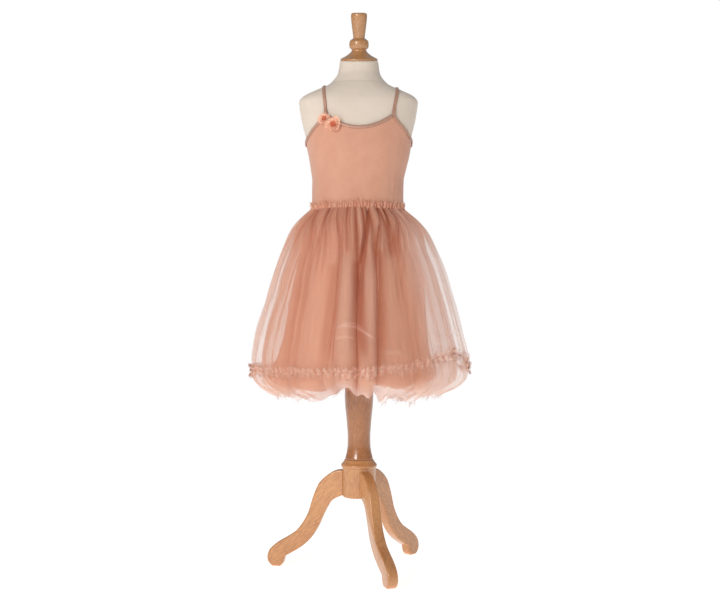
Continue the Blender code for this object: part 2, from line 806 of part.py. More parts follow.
def build_flowers(organza):
    """The two flowers, each a cupped ring of petals round a raised middle."""
    count = PETALS * PETAL_COLUMNS
    for number, flower in enumerate(FLOWERS, start=1):
        middle = skin_point(flower.across * MM, flower.height * MM, FRONT)
        facing = form_rise(middle).normalized()
        side = Vector((0, 0, 1)).cross(facing).normalized()
        up = facing.cross(side)
        rings = []
        for row in FLOWER_RINGS:
            ring = []
            for column in range(count):
                angle = 2 * pi * column / count
                notch = 1 - PETAL_NOTCH * row.petal * (1 - abs(sin(angle * PETALS / 2)))
                reach = flower.radius * MM * row.share * notch
                swing = angle + radians(flower.spin)
                spot = middle + side * (reach * cos(swing)) + up * (reach * sin(swing))
                ring.append(on_form(spot, FLOWER_OUT + row.rise * MM))
            rings.append(ring)
        stack(f"flower_{number}", rings, organza)


def board(name, outline, thickness):
    """A flat board of an outline in the XZ plane, as a closed mesh."""
    curve = bpy.data.curves.new(name, "CURVE")
    curve.dimensions = "2D"
    curve.fill_mode = "BOTH"
    curve.extrude = thickness / 2
    spline = curve.splines.new("POLY")
    spline.points.add(len(outline) - 1)
    for knot, (reach, height) in zip(spline.points, outline):
        knot.co = (reach, height, 0, 1)
    spline.use_cyclic_u = True
    guide = bpy.data.objects.new(name + "_outline", curve)
    collection("tulle_dress").objects.link(guide)
    mesh = bpy.data.meshes.new_from_object(guide.evaluated_get(bpy.context.evaluated_depsgraph_get()))
    bpy.data.objects.remove(guide, do_unlink=True)
    shape = bmesh.new()
    shape.from_mesh(mesh)
    bmesh.ops.remove_doubles(shape, verts=shape.verts, dist=0.01 * MM)
    bmesh.ops.dissolve_limit(shape, angle_limit=radians(0.5), verts=shape.verts, edges=shape.edges)
    bmesh.ops.recalc_face_normals(shape, faces=shape.faces)
    shape.transform(Matrix.Rotation(radians(90), 4, "X"))
    shape.to_mesh(mesh)
    shape.free()
    return mesh


def leg_outline():
    """A leg's outline: down its top edge to the toe, along the foot and up its under edge."""
    runs = (("top", LEG_TOP_EDGE), ("heel", LEG_HEEL), ("under", LEG_UNDER_EDGE))
    outline = []
    for run, knots in runs:
        flat = [Vector((reach * MM, height * MM, 0)) for reach, height in knots]
        points = curve_through(flat, LEG_RUN_POINTS[run])
        outline += points[1:] if run == "under" else points
    return [(point.x, point.y) for point in outline]


def build_legs(wood):
    """Three legs, rounded along their edges and cut to seat on the hub."""
    seat = bpy.data.meshes.new("hub_seat")
    shape = bmesh.new()
    bmesh.ops.create_cone(shape, cap_ends=True, segments=HUB_SEAT_SIDES, radius1=HUB_RADIUS + SEAM_GAP,
                          radius2=HUB_RADIUS + SEAM_GAP, depth=HUB_SEAT_LENGTH)
    shape.to_mesh(seat)
    shape.free()
    cutter = bpy.data.objects.new("hub_seat", seat)
    cutter.location.z = HUB_SEAT_HEIGHT
    cutter.hide_render = True
    cutter.display_type = "WIRE"
    collection("cutters").objects.link(cutter)
    for name, turn in LEG_TURNS.items():
        leg = place(name, board(name, leg_outline(), LEG_THICKNESS), wood)
        leg.rotation_euler.z = radians(turn)
        rounding = leg.modifiers.new("Rounding", "BEVEL")
        rounding.width = LEG_ROUNDING
        rounding.segments = 2
        rounding.limit_method = "ANGLE"
        rounding.angle_limit = radians(60)
        seating = leg.modifiers.new("Seating", "BOOLEAN")
        seating.operation = "DIFFERENCE"
        seating.object = cutter


def main():
    clear_scene()
    linen = finish("form_cream_jersey", (226, 211, 195), 0.85)
    jersey = finish("peach_jersey", (214, 158, 131), 0.8)
    tulle = finish("peach_tulle", (218, 168, 142), 0.9)
    lining = finish("lining", (205, 150, 122), 0.85)
    satin = finish("rose_satin", (189, 155, 137), 0.35, 0.2)
    organza = finish("flower_organza", (222, 178, 152), 0.6)
    pale_wood = finish("pale_wood", (207, 158, 113), 0.45)
    dark_wood = finish("darker_wood", (173, 123, 86), 0.45)
    build_form(linen)
    build_finial(pale_wood)
    turned("post", POST_PROFILE, dark_wood)
    turned("hub", HUB_PROFILE, pale_wood)
    build_legs(pale_wood)
    build_bodice(jersey)
    build_armholes(satin)
    build_necklines(satin)
    panel_pair("tulle_skirt", SKIRT_COLUMNS, SKIRT, skirt_point, TULLE, tulle)
    panel_pair("lining_skirt", LINING_COLUMNS, LINING, lining_point, JERSEY, lining)
    build_waist_frill(tulle)
    build_hem_frill(tulle)
    build_flowers(organza)


main()
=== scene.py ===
"""The looks of a child's tulle dress on a dress form with a turned wooden stand.

It is laid out as a Blender add-on and run as a script. Lengths in the tables are in
millimetres and the scene is in metres, +Z up, with the front facing -Y. A turn is an angle in
degrees about the vertical axis, from the front, and it grows towards +X.
"""

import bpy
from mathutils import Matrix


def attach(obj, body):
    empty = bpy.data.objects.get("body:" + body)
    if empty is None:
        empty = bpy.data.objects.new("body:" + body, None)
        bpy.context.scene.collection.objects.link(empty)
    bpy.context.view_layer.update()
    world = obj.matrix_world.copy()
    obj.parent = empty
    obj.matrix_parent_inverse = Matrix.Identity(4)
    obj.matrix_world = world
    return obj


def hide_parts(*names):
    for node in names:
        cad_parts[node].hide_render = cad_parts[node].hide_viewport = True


bl_info = {
    "name": "Tulle Dress on a Form",
    "version": (1, 0, 0),
    "blender": (4, 5, 0),
    "location": "3D View > Sidebar > Tulle Dress",
    "description": "Builds a child's tulle dress, its dress form and the wooden stand",
    "category": "Object",
}

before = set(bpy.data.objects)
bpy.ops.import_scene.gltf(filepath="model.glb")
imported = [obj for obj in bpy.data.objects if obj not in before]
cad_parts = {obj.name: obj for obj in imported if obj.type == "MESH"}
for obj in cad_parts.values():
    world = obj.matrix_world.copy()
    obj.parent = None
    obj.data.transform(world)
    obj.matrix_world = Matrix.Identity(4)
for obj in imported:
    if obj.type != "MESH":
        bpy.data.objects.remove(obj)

from collections import namedtuple
from contextlib import contextmanager
from math import radians

import bmesh
import bpy
import numpy as np
from bpy.props import FloatProperty, FloatVectorProperty, IntProperty, PointerProperty
from mathutils import Matrix, Vector

MM = 0.001
FRONT, BACK = -1, 1


def table(kind, *rows):
    """Rows of measures as named tuples of a kind."""
    return [kind(*row) for row in rows]


# How far the cloth lies off the form, and how thick and wide it is
BODICE_GAP = 1.0 * MM
JERSEY = 1.6 * MM
BODICE_OUT = BODICE_GAP + JERSEY
BINDING_WIDTH = 7 * MM
STRAP_GAP = 0.5 * MM
BINDING_OUT = BODICE_OUT + 0.2 * MM

# Heights of the waist and the hem. The waist seam droops at the sides, and the hem is lifted in
# places, which pulls up the cloth below a height.
WAIST_SEAM = 687 * MM
BODICE_FOOT = 683 * MM
WAIST_DROOP = 3 * MM
WAIST_DROOP_FROM = 600 * MM
HEM_LIFT_FROM = 450 * MM
HEM = 330 * MM
HEM_LOOPS_FROM = 352 * MM
HEM_LOOP_HEIGHT = 4.5 * MM

# The neckline by panel, the straps' ends by side, -1 towards -X, and the armholes
NECK_LOW = {FRONT: 834.6 * MM, BACK: 841 * MM}
STRAP_FOOT = 859.7 * MM
STRAP_FOOT_ACROSS = {-1: 61 * MM, 1: 64.4 * MM}
STRAP_TOP_ACROSS = {-1: 64.5 * MM, 1: 72.5 * MM}
STRAP_ARCH = (62 * MM, 60 * MM)
STRAP_SLOPE_ABOVE = 4 * MM
STRAP_SLOPE_HEIGHT = 12 * MM
UNDERARM = 811 * MM

# The bodice's side seams by their turns, its creases, and its gathers above the waist
SIDE_SEAM = 90
SIDE_SEAM_HALF = 0.8
SIDE_SEAM_DEPTH = 0.5 * MM
BODICE_CREASE = 0.16 * MM
BODICE_GATHERS = 0.7 * MM
BODICE_GATHERS_AT = 692 * MM
BODICE_GATHERS_REACH = 9 * MM

# Folded tape: the shares of its half width where its crown and its underside have points, and
# how far off its route they lie. The neckline's tape ends short of the straps' middles.
TAPE_SHARES = np.array([-1, -0.93, -0.78, -0.5, -0.2, 0.1, 0.4, 0.7, 0.9, 1])
TAPE_UNDER_SHARES = (0.8, 0, -0.8)
TAPE_EDGE = 0.35 * MM
TAPE_CROWN = 1.35 * MM
TAPE_UNDERSIDE = 0.05 * MM
TAPE_WAVE = 0.12 * MM
NECK_TAPE_END = 3 * MM

# Stitches run at a share of the tape's half width, and their pitch is in stitch lengths
STITCH_LINE = 0.62
STITCH_OUT = 1.62 * MM
STITCH_PITCH = 1.35
STITCH_THREAD = 0.36 * MM

# How square a level section is: 2 is an ellipse
FORM_POWER = 2.2
SKIRT_POWER = 2.0
SKIRT_ROUND_BELOW = 600 * MM

# The form's body by its level rings, with the neck's seam
NECK_SEAM = 926.5 * MM
NECK_SEAM_HALF = 1.3 * MM
Ring = namedtuple("Ring", "height half_width half_depth sway")
FORM_RINGS = table(
    Ring,
    (565, 90, 76, 0), (575, 97, 83, 0), (600, 98, 84, -1), (640, 93, 80, -2), (680, 86, 74, -2.5),
    (706, 85, 72.5, -2.5), (741, 85, 73, -2), (764, 88.6, 75, -1), (787, 93.4, 77, 0),
    (810, 98, 78, -0.5), (833, 102.7, 77, -1), (856, 108.5, 74, -1), (879, 112.5, 70, -1),
    (893, 114, 66, -1), (902, 108, 62, -1), (914, 84.5, 56, -1), (925, 59.5, 50, -0.5),
    (937, 47, 44, -0.5), (948, 40.5, 40, 0), (960, 38.4, 38, 0), (972.5, 36.5, 36.5, 0),
)

# The armhole's edge from the strap's foot down to near the side seam
Edge = namedtuple("Edge", "across height")
ARMHOLE = table(
    Edge,
    (72.5, 846.7), (83.7, 835.7), (92.0, 825.0), (98.2, 815.5),
)

# The tulle's level rings, with how deep its gathers and folds are
SkirtRing = namedtuple("SkirtRing", "height half_width half_depth gather fold sway")
SKIRT_RINGS = table(
    SkirtRing,
    (686.7, 95.6, 83.6, 4.5, 0.5, -2.5), (678, 106, 93.5, 5.5, 2, -2),
    (664, 121, 109, 5.5, 5, -1), (645, 135, 123, 4.5, 9, 0), (612, 150, 139, 3.0, 13, 1),
    (570, 166, 155, 1.5, 16, 2), (515, 182, 171, 0.8, 18, 2), (455, 199, 187, 0, 19, 1),
    (400, 209, 197, 0, 19, 2), (366, 208, 196, 0, 17, 2), (347, 194, 182, 0, 14, 1),
    (336, 173, 161, 0, 11, 0), (330, 156, 145, 0, 8, 0),
)

# The folds round a skirt: their widths in degrees, the gathers in each, how deep its valley is,
# how much the hem is lifted and how far the cloth reaches out
Fold = namedtuple("Fold", "width gathers valley lift reach", defaults=(1,))
SKIRT_FOLDS_FROM = -101
SKIRT_FOLDS = table(
    Fold,
    (22, 2, 0.5, 4), (11, 1, 0.6, 5), (22, 3, 0.8, 5), (31, 4, 0.9, 3), (13, 2, 0.8, 24),
    (13, 2, 1.3, 10), (17, 2, 0.9, 8), (16, 2, 1.0, 1), (16, 2, 0.9, 8), (19, 2, 0.9, 7),
    (22, 2, 0.6, 5), (24, 3, 0.6, 10), (19, 2, 0.9, 6), (28, 4, 0.8, 12), (17, 2, 1.0, 8),
    (26, 3, 0.8, 12), (21, 3, 0.9, 7), (23, 3, 0.7, 10),
)
FOLD_ROUND = 0.65

# How deep the tulle's folds, gathers and pleats are where their painted shade is darkest, and
# how high its crumples and a crisp wrinkle stand
DARK_FOLD = 24 * MM
DARK_GATHER = 16 * MM
DARK_PLEAT = 5.5 * MM
DARK_SOFT_PLEAT = 13 * MM
CRUMPLE_HEIGHT = 0.9 * MM
CRISP_HEIGHT = 1.4 * MM

# Where the rows of the tulle's mesh lie closer, for its wrinkles
CLOSER_AT = 456 * MM
CLOSER_REACH = 27 * MM

# The inner layer hangs clear of the outer one, fully so some way below the waist
UNDER_TULLE_CLEAR = 1.2 * MM
UNDER_TULLE_FALL = 90 * MM

# Heights between which the tulle thickens towards its turned-in hem, and the lining is darkened
# with painted shade
THICK_HEM = (345 * MM, 385 * MM)
PAINTED_SHADE_LINING_FOOT = (366 * MM, 410 * MM)

LINING_RINGS = table(
    Ring,
    (682.7, 88.3, 76.4, -2.5), (668, 93, 81, -2), (650, 101, 90, 0), (620, 110, 100, 2),
    (575, 121, 112, 5), (520, 129, 121, 6), (460, 135, 128, 5), (400, 147, 139, 2),
    (366, 162, 153, 0), (350, 153, 144, 0), (342, 134, 126, 0),
)
LINING_WALL = 1.0 * MM
LINING_WAVE = 1.6 * MM
LINING_FOLD_DEPTH = 10 * MM
LINING_FOLDS_FROM = 670 * MM
LINING_FOLDS_FULL = 480 * MM
LINING_LOBES_FROM = -90
LINING_LOBES = table(
    Fold,
    (40, 2, 0.5, 4, 1.08), (42, 2, 0.5, 2, 1.05), (13, 1, 1.5, 12, 0.97), (53, 2, 1.5, 8, 0.94),
    (32, 2, 0.8, 8, 0.93), (44, 2, 0.7, 6, 0.96), (46, 2, 0.6, 7, 1.0), (44, 2, 0.7, 6, 1.0),
    (46, 2, 0.6, 4, 1.05),
)

# The gathered strip above the waist seam, and the one round the hem
WAIST_FRILL_FOOT = 684.8 * MM
WAIST_FRILL_HEIGHT = 10.5 * MM
WAIST_FRILL_GAP = 0.5 * MM
WAIST_FRILL_WAVE = 4.5 * MM
HEM_FRILL_GAP = 0.3 * MM
HEM_FRILL_WIDTH = 20 * MM
HEM_FRILL_HALF = 9 * MM
HEM_FRILL_STAND = 3.5 * MM
HEM_FRILL_WAVE = 3.5 * MM

# The frill's knot of threads at the -X side seam, and the threads that hang from the hem, some
# of them in tufts of a middle turn, a spread and a number
KNOT_HALF = 7
KNOT_WEIGHT = 2.5
HANGING_THREADS = 420
HANGING_TUFTS = ((-4, 8, 70), (33, 10, 90))

# Where the strip round the hem runs, and how much of it is there
Line = namedtuple("Line", "turn height cover")
HEM_FRILL_LINE = table(
    Line,
    (-90, 380, 1.4), (-72, 382, 1.2), (-60, 384, 0.85), (-25, 386, 0.85), (-17, 386, 1.2),
    (0, 386, 1.3), (7, 388, 1.2), (15, 392, 0.8), (30, 397, 0.8), (43, 410, 1.2), (57, 416, 1.4),
    (75, 398, 1.4), (90, 383, 1.2), (130, 386, 0.8), (180, 390, 0.8), (225, 383, 0.9),
    (270, 380, 1.4),
)

# Valleys of the tulle: their heights and turns, half width in degrees, depth and painted shade
Valley = namedtuple("Valley", "route spread depth shade")
VALLEYS = table(
    Valley,
    (((694, 9), (671, 8.3), (617, 3.7), (562, 0.2), (495, -1)), 1.7, 12, 2.3),
    (((580, -1), (500, 0.5), (440, 2), (385, 3)), 3.2, 3, 0.75),
    (((694, 20.5), (605, 14.6), (527, 12.4), (462, 11), (397, 9.3), (366, 8.4)), 0.55, 5, 1.6),
    (((694, -20.5), (605, -15.3), (527, -15), (462, -15.4), (397, -16.5), (366, -19)),
     0.55, 5, 1.3),
    (((690, 29), (650, 25), (585, 21.4)), 2.0, 8, 1.3),
    (((690, 43), (650, 35), (620, 31), (585, 29.5)), 1.7, 7, 1.3),
    (((640, 37.5), (560, 30), (480, 27.3)), 0.6, 4, 0.7),
    (((690, 56), (650, 50), (590, 40.5), (520, 40)), 3.4, 5, 0.7),
    (((690, -52), (620, -41), (575, -45), (480, -42), (400, -42), (370, -44)), 2.6, 5, 0.75),
    (((690, -33), (620, -29), (540, -29)), 1.2, 5, 0.8),
    (((690, -10), (640, -9.5), (590, -9)), 0.9, 5, 0.7),
    (((650, 16), (610, 12.5), (560, 10.5)), 0.8, 4, 0.8),
    (((396, 60.5), (372, 58.5)), 3.2, 1, 1.0),
    (((600, 16), (462, 13.5), (375, 12)), 3.0, 2, 0.6),
    (((575, -19), (462, -19), (375, -20.5)), 2.4, 2, 0.6),
    (((530, 46.5), (460, 43), (390, 41.3)), 0.5, 3, 0.5),
    (((640, 66), (540, 62), (470, 60)), 1.6, 2, 0.3),
    (((640, -66), (540, -62), (420, -60)), 2.0, 3, 0.35),
    (((680, 112), (580, 114), (480, 115)), 2.2, 6, 0.8),
    (((670, 135), (540, 133), (420, 132)), 2.4, 6, 0.7),
    (((690, 158), (600, 160), (500, 162)), 1.8, 8, 1.2),
    (((690, 181), (560, 180), (450, 179)), 2.4, 8, 1.3),
    (((690, 203), (600, 205), (500, 206)), 1.6, 6, 0.9),
    (((670, 226), (540, 223), (420, 222)), 2.4, 5, 0.7),
    (((690, 247), (600, 249), (500, 249)), 1.8, 6, 0.9),
)

# The two valleys that edge the fold hanging in front in the middle, from a height down
PANEL_TOP = 690
PANEL_EDGES = [((PANEL_TOP, valley.route[0][1]), *valley.route[1:]) for valley in VALLEYS[3:1:-1]]

# Painted light: the tulle is painted palest on the +X side, where it grows pale between the first
# turns and dark again between the second
PAINTED_LIGHT_FROM = (32, 46)
PAINTED_LIGHT_TO = (96, 116)

# Heights between which that painted light thins towards the waist, and how far up from the
# tulle's foot its pale hem reaches, which in front is also darkened with painted shade
PAINTED_LIGHT_THINS = (600 * MM, 680 * MM)
PALE_HEM = (8 * MM, 62 * MM)

# Heights between which the middle fold fades out below the waist
PANEL_FADES = (520 * MM, 640 * MM)

# Wrinkles across the tulle, painted pale as a highlight: their turns and heights, half width and
# how high they stand
Wrinkle = namedtuple("Wrinkle", "route spread height")
WRINKLES = table(
    Wrinkle,
    (((-13.6, 464), (-9, 470), (-4, 468), (1, 461), (6, 450), (9.5, 443)), 2.3, 0.9),
    (((-11, 469), (-5, 474), (0, 468), (3, 462)), 1.4, 0.7),
    (((-13.6, 446), (-8, 450), (-2, 446)), 2.2, 0.6),
    (((11, 420), (18, 421), (26, 420)), 1.4, 0.7),
    (((42, 410), (50, 432), (58, 450), (76, 466)), 2.2, 1.0),
    (((44, 428), (52, 441), (62, 444)), 1.8, 0.8),
    (((160, 462), (170, 468), (178, 470)), 2.2, 1.2),
    (((205, 455), (211, 449), (216, 447)), 2.2, 1.1),
)

# Two organza flowers at the foot of the -X strap
Flower = namedtuple("Flower", "across height radius spin")
FLOWERS = table(
    Flower,
    (-61.5, 851, 11.8, 20), (-45.5, 839.5, 15.5, 0),
)

# Turned wood, as radius and height
Turned = namedtuple("Turned", "radius height")
FINIAL_PROFILE = table(
    Turned,
    (12, 1063), (15, 1061), (15.4, 1057.5), (14.2, 1043), (12.4, 1028.5), (11, 1016), (14, 1014),
    (17.6, 1010.5), (18.6, 1004.2), (17.6, 997.5), (14, 994), (14.2, 992.6), (18.4, 987.6),
    (26.4, 982), (34.4, 977.8), (35.7, 976.6), (35.7, 973.8), (35, 973),
)
POST_PROFILE = table(
    Turned,
    (24, 564.6), (24, 552), (20, 548), (21, 480), (24, 380), (27.6, 330), (27, 314), (25.2, 296),
    (23, 272), (21.8, 251), (22.2, 236), (24, 222.5), (26, 214), (26.6, 211.5), (26.2, 209.5),
)
HUB_PROFILE = table(
    Turned,
    (27.4, 209.2), (28.4, 207.6), (31.2, 203.2), (34.2, 199.6), (34.6, 198), (34.6, 196),
    (33.2, 194.2), (31.9, 193.2), (31.9, 139.5), (30.4, 137.5),
)
SPINDLE = 1 * MM
SEAT_RADIUS = 32.2 * MM
SEAT_DEPTH = 120 * MM
SEAT_HEIGHT = 165 * MM

# The neck is cut on a slant, and the finial on it leans forward
NECK_LEAN = radians(12)
NECK_LEAN_FROM = 938 * MM
NECK_TOP = 972.5 * MM

# Three sawn legs: the turns they stand at, and their outline in reach from the axis and height
LEG_TURNS = {"leg_left": 171, "leg_front": 290, "leg_right": 50}
LEG_THICKNESS = 20 * MM
LEG_TOP_EDGE = [
    (24, 190.3), (46.1, 186.5), (62.6, 176.7), (76.3, 163.1), (84.5, 146.7), (91.4, 127.4),
    (98.2, 105.6), (109.4, 85.1), (123.2, 68.5), (139.7, 57.2), (159, 45.7), (174.2, 31.9),
    (179, 16.8), (175.5, 6.1), (168.7, 0),
]
LEG_HEEL = [(153.5, 0), (147.2, 7), (143.8, 19.5)]
LEG_UNDER_EDGE = [
    (143.8, 19.5), (128.7, 27.9), (109.4, 40.3), (92.8, 55.9), (79, 76.4), (69.5, 97.2),
    (60, 116.4), (48.9, 131.4), (24, 143),
]
LEG_GRAIN_TURN = radians(48)

# Columns round each skin's or cloth's mesh, and rows down it
FORM_GRID = (200, 140)
BODICE_ROWS = 70
LINING_GRID = (540, 66)
TULLE_GRID = (1020, 97)
UNDER_TULLE_GRID = (780, 56)
WAIST_FRILL_GRID = (1500, 10)
HEM_FRILL_GRID = (1800, 13)

# The photograph's camera, the two disc lamps and the floor, in metres and millimetres of lens
CAMERA_PLACE = (0.0019, -2.2, 0.5145)
CAMERA_LENS = 57.29
CAMERA_SENSOR = 36
CAMERA_CLIP = 60
Lamp = namedtuple("Lamp", "name place aim size")
LAMPS = [Lamp("key", (-1.55, -2.7, 1.45), (0, 0, 0.6), 1.1),
         Lamp("fill", (2.4, -1.9, 1.0), (0, 0, 0.5), 2.0)]
FLOOR_RADIUS = 14

# The cells of the nets, and the distance between the wood's growth rings
TULLE_CELL = 1.3 * MM
FRILL_CELL = 1.2 * MM
WOOD_RING = 3.4 * MM


def linear_colour(*levels):
    """A linear colour from display values, 0 to 255."""
    shares = [level / 255 for level in levels]
    return tuple(s / 12.92 if s <= 0.04045 else ((s + 0.055) / 1.055) ** 2.4 for s in shares)


def colour_setting(name, owner, *levels):
    return FloatVectorProperty(name=name, description="Colour of " + owner, subtype="COLOR",
                               min=0, max=1, default=linear_colour(*levels))


def length_setting(name, description, millimetres):
    return FloatProperty(name=name, description=description, unit="LENGTH", min=0,
                         default=millimetres * MM)


def share_setting(name, description, default):
    return FloatProperty(name=name, description=description, subtype="FACTOR", min=0, max=1,
                         default=default)


class StageSettings(bpy.types.PropertyGroup):
    floor_colour: colour_setting("Floor", "the floor", 250, 250, 250)
    floor_glow: share_setting("Floor glow", "Light that the floor adds to stay white", 0.7)
    sky: FloatProperty(name="Sky light", description="Strength of the even light", default=0.34)
    key: FloatProperty(name="Key light", description="Power of the key light", unit="POWER",
                       default=40)
    fill: FloatProperty(name="Fill light", description="Power of the fill light", unit="POWER",
                        default=1.5)


class FormSettings(bpy.types.PropertyGroup):
    colour: colour_setting("Jersey", "the form's stretched jersey", 228, 212, 197)
    shade: colour_setting("Shade", "its thicker, duller places", 213, 197, 178)
    seam_depth: length_setting("Seam depth", "How deep the neck seam sinks", 0.4)


class WoodSettings(bpy.types.PropertyGroup):
    finial: colour_setting("Finial wood", "the finial", 203, 150, 96)
    finial_late: colour_setting("Finial grain", "its grain lines", 140, 84, 42)
    pale: colour_setting("Pale wood", "the hub and legs", 217, 155, 97)
    pale_late: colour_setting("Pale grain", "their grain lines", 150, 90, 46)
    dark: colour_setting("Darker wood", "the post", 180, 116, 64)
    dark_late: colour_setting("Darker grain", "the post's grain lines", 120, 66, 32)
    steps: IntProperty(name="Turning steps", description="Steps round a turned piece",
                       default=112, min=12)
    leg_rounding: length_setting("Leg rounding", "Radius along the edges of the legs", 8)


class BodiceSettings(bpy.types.PropertyGroup):
    colour: colour_setting("Jersey", "the bodice", 214, 158, 131)
    shade: colour_setting("Jersey shade", "the gaps between its knitted rows", 196, 135, 108)
    binding: colour_setting("Binding", "the satin binding and straps", 198, 152, 130)
    # The binding shade: painted shade at the tape's rolled edges and in its creases, and random tone in
    # the satin's threads and the stitches
    binding_dark: colour_setting("Binding shade", "the binding's folds", 152, 106, 84)
    thread: colour_setting("Thread", "the stitches", 198, 152, 130)
    thickness: length_setting("Thickness", "Thickness of the jersey", 1.4)
    stitch: length_setting("Stitch", "Length of one stitch", 2.1)


class SkirtSettings(bpy.types.PropertyGroup):
    tulle: colour_setting("Tulle", "the tulle on the folds", 247, 202, 175)
    # The deep tulle colour: painted shade in the tulle's valleys and between the frills' ruffles, and
    # random tone in the frills and threads
    tulle_deep: colour_setting("Deep tulle", "the tulle in the valleys", 178, 96, 64)
    # The pale tulle colour: paler tulle at the hem, a painted highlight on the wrinkles and painted
    # light on the +X side
    tulle_pale: colour_setting("Pale tulle", "the tulle at its hem and on its wrinkles", 255, 238, 229)
    lining: colour_setting("Lining", "the lining", 235, 180, 152)
    # The deep lining colour: painted shade in the lining's troughs and towards its foot, and random
    # tone in its streaks and clouds
    lining_deep: colour_setting("Deep lining", "the lining's troughs", 196, 124, 92)
    cover: share_setting("Cover", "How much one flat layer of tulle covers", 0.16)
    pleat: length_setting("Pleats", "Depth of the pleats below the waist", 3)
    under_gap: length_setting("Under layer", "How far the second layer hangs inside", 20)


class FrillSettings(bpy.types.PropertyGroup):
    waist: colour_setting("Waist frill", "the heading at the waist", 255, 206, 178)
    hem: colour_setting("Hem frill", "the strip round the hem", 250, 216, 196)
    cover: share_setting("Cover", "How much the strip's cloth covers", 0.5)
    thread: length_setting("Thread", "Length of the frayed threads", 6)
    threads: IntProperty(name="Threads", description="Frayed threads along one edge",
                         default=1850, min=1)


class FlowerSettings(bpy.types.PropertyGroup):
    petal: colour_setting("Petals", "the organza petals", 254, 194, 160)
    centre: colour_setting("Centres", "the coral centres", 246, 138, 98)
    knot: colour_setting("Knot", "the dark knots and thread ends", 170, 104, 76)


class DressSettings(bpy.types.PropertyGroup):
    stage: PointerProperty(type=StageSettings)
    form: PointerProperty(type=FormSettings)
    wood: PointerProperty(type=WoodSettings)
    bodice: PointerProperty(type=BodiceSettings)
    skirt: PointerProperty(type=SkirtSettings)
    frill: PointerProperty(type=FrillSettings)
    flower: PointerProperty(type=FlowerSettings)


def both_ways(operation):
    """The methods of a Math operation for a socket on its left, and for one on its right."""
    return (lambda self, other: self.math(operation, self, other),
            lambda self, other: self.math(operation, other, self))


class Socket:
    """A node's output that takes part in Python sums, each of which adds a Math node."""

    def __init__(self, graph, socket):
        self.graph = graph
        self.socket = socket

    def math(self, operation, *values):
        return self.graph.add("ShaderNodeMath", {"operation": operation}, dict(enumerate(values)))

    __add__, __radd__ = both_ways("ADD")
    __sub__, __rsub__ = both_ways("SUBTRACT")
    __mul__, __rmul__ = both_ways("MULTIPLY")
    __pow__, __rpow__ = both_ways("POWER")

    def wave(self, length):
        """0 to 1 and back over a length."""
        return self.math("SINE", self * (2 * np.pi / length)) * 0.5 + 0.5

    def larger(self, other):
        return self.math("MAXIMUM", self, other)

    def capped(self, other):
        return self.math("MINIMUM", self, other)

    def between(self, low, high):
        """0 below low, 1 above high, with a smooth rise."""
        return self.graph.add("ShaderNodeMapRange", {"interpolation_type": "SMOOTHSTEP"},
                              {"Value": self, "From Min": low, "From Max": high})


class Graph:
    """A node tree under construction."""

    def __init__(self, tree):
        self.tree = tree
        tree.nodes.clear()

    def add(self, kind, settings=None, values=None, output=0):
        """Make a node from its type, its settings and its sockets' values; give one output."""
        node = self.tree.nodes.new(kind)
        for name, setting in (settings or {}).items():
            setattr(node, name, setting)
        for key, value in (values or {}).items():
            if isinstance(value, Socket):
                self.tree.links.new(value.socket, node.inputs[key])
            else:
                node.inputs[key].default_value = value
        return Socket(self, node.outputs[output]) if node.outputs else None


class Finish(Graph):
    """A material's nodes, ending in one surface shader."""

    def __init__(self, name):
        self.material = bpy.data.materials.new(name)
        self.material.use_nodes = True
        super().__init__(self.material.node_tree)

    def object_place(self):
        return self.add("ShaderNodeTexCoord", output=3)

    def cloth_place(self):
        """The place on the flat cloth, in metres across and along."""
        return self.add("ShaderNodeUVMap", {"uv_map": "cloth"})

    def attribute(self, name, output=2):
        return self.add("ShaderNodeAttribute", {"attribute_name": name}, output=output)

    def scaled(self, place, *scale):
        return self.add("ShaderNodeVectorMath", {"operation": "MULTIPLY"}, {0: place, 1: scale})

    def part(self, place, axis):
        return self.add("ShaderNodeSeparateXYZ", None, {0: place}, axis)

    def noise(self, place, scale, detail=3.0, roughness=0.5):
        """Noise with its own number of grains a metre along each axis of a place."""
        return self.add("ShaderNodeTexNoise", None, {"Vector": self.scaled(place, *scale), "Scale": 1.0,
                                                     "Detail": detail, "Roughness": roughness})

    def net(self, place, cell):
        """The threads of a net with diamond cells, from 0 in a cell to 1 on a thread."""
        across, along = self.part(place, 0), self.part(place, 1)
        return (across + along * 0.6).wave(cell).larger((across - along * 0.6).wave(cell))

    def mix(self, first, second, share):
        ends = [end if isinstance(end, Socket) else (*end, 1) for end in (first, second)]
        return self.add("ShaderNodeMix", {"data_type": "RGBA"}, {0: share, 6: ends[0], 7: ends[1]}, 2)

    def bump(self, height, distance, strength=1.0):
        return self.add("ShaderNodeBump", None, {"Height": height, "Distance": distance,
                                                 "Strength": strength})

    def surface(self, values):
        """End the tree in a Principled shader, and give the material."""
        shader = self.add("ShaderNodeBsdfPrincipled", None, values)
        self.add("ShaderNodeOutputMaterial", None, {"Surface": shader})
        return self.material

    def sheer_surface(self, values, cover, glow, share):
        """End the tree in cloth that light passes through, and gaps between its threads."""
        cloth = self.add("ShaderNodeBsdfPrincipled", None, values)
        through = self.add("ShaderNodeBsdfTranslucent", None, {"Color": (*glow, 1)})
        lit = self.add("ShaderNodeMixShader", None, {0: share, 1: cloth, 2: through})
        gap = self.add("ShaderNodeBsdfTransparent")
        whole = self.add("ShaderNodeMixShader", None, {0: cover, 1: gap, 2: lit})
        self.add("ShaderNodeOutputMaterial", None, {"Surface": whole})
        return self.material


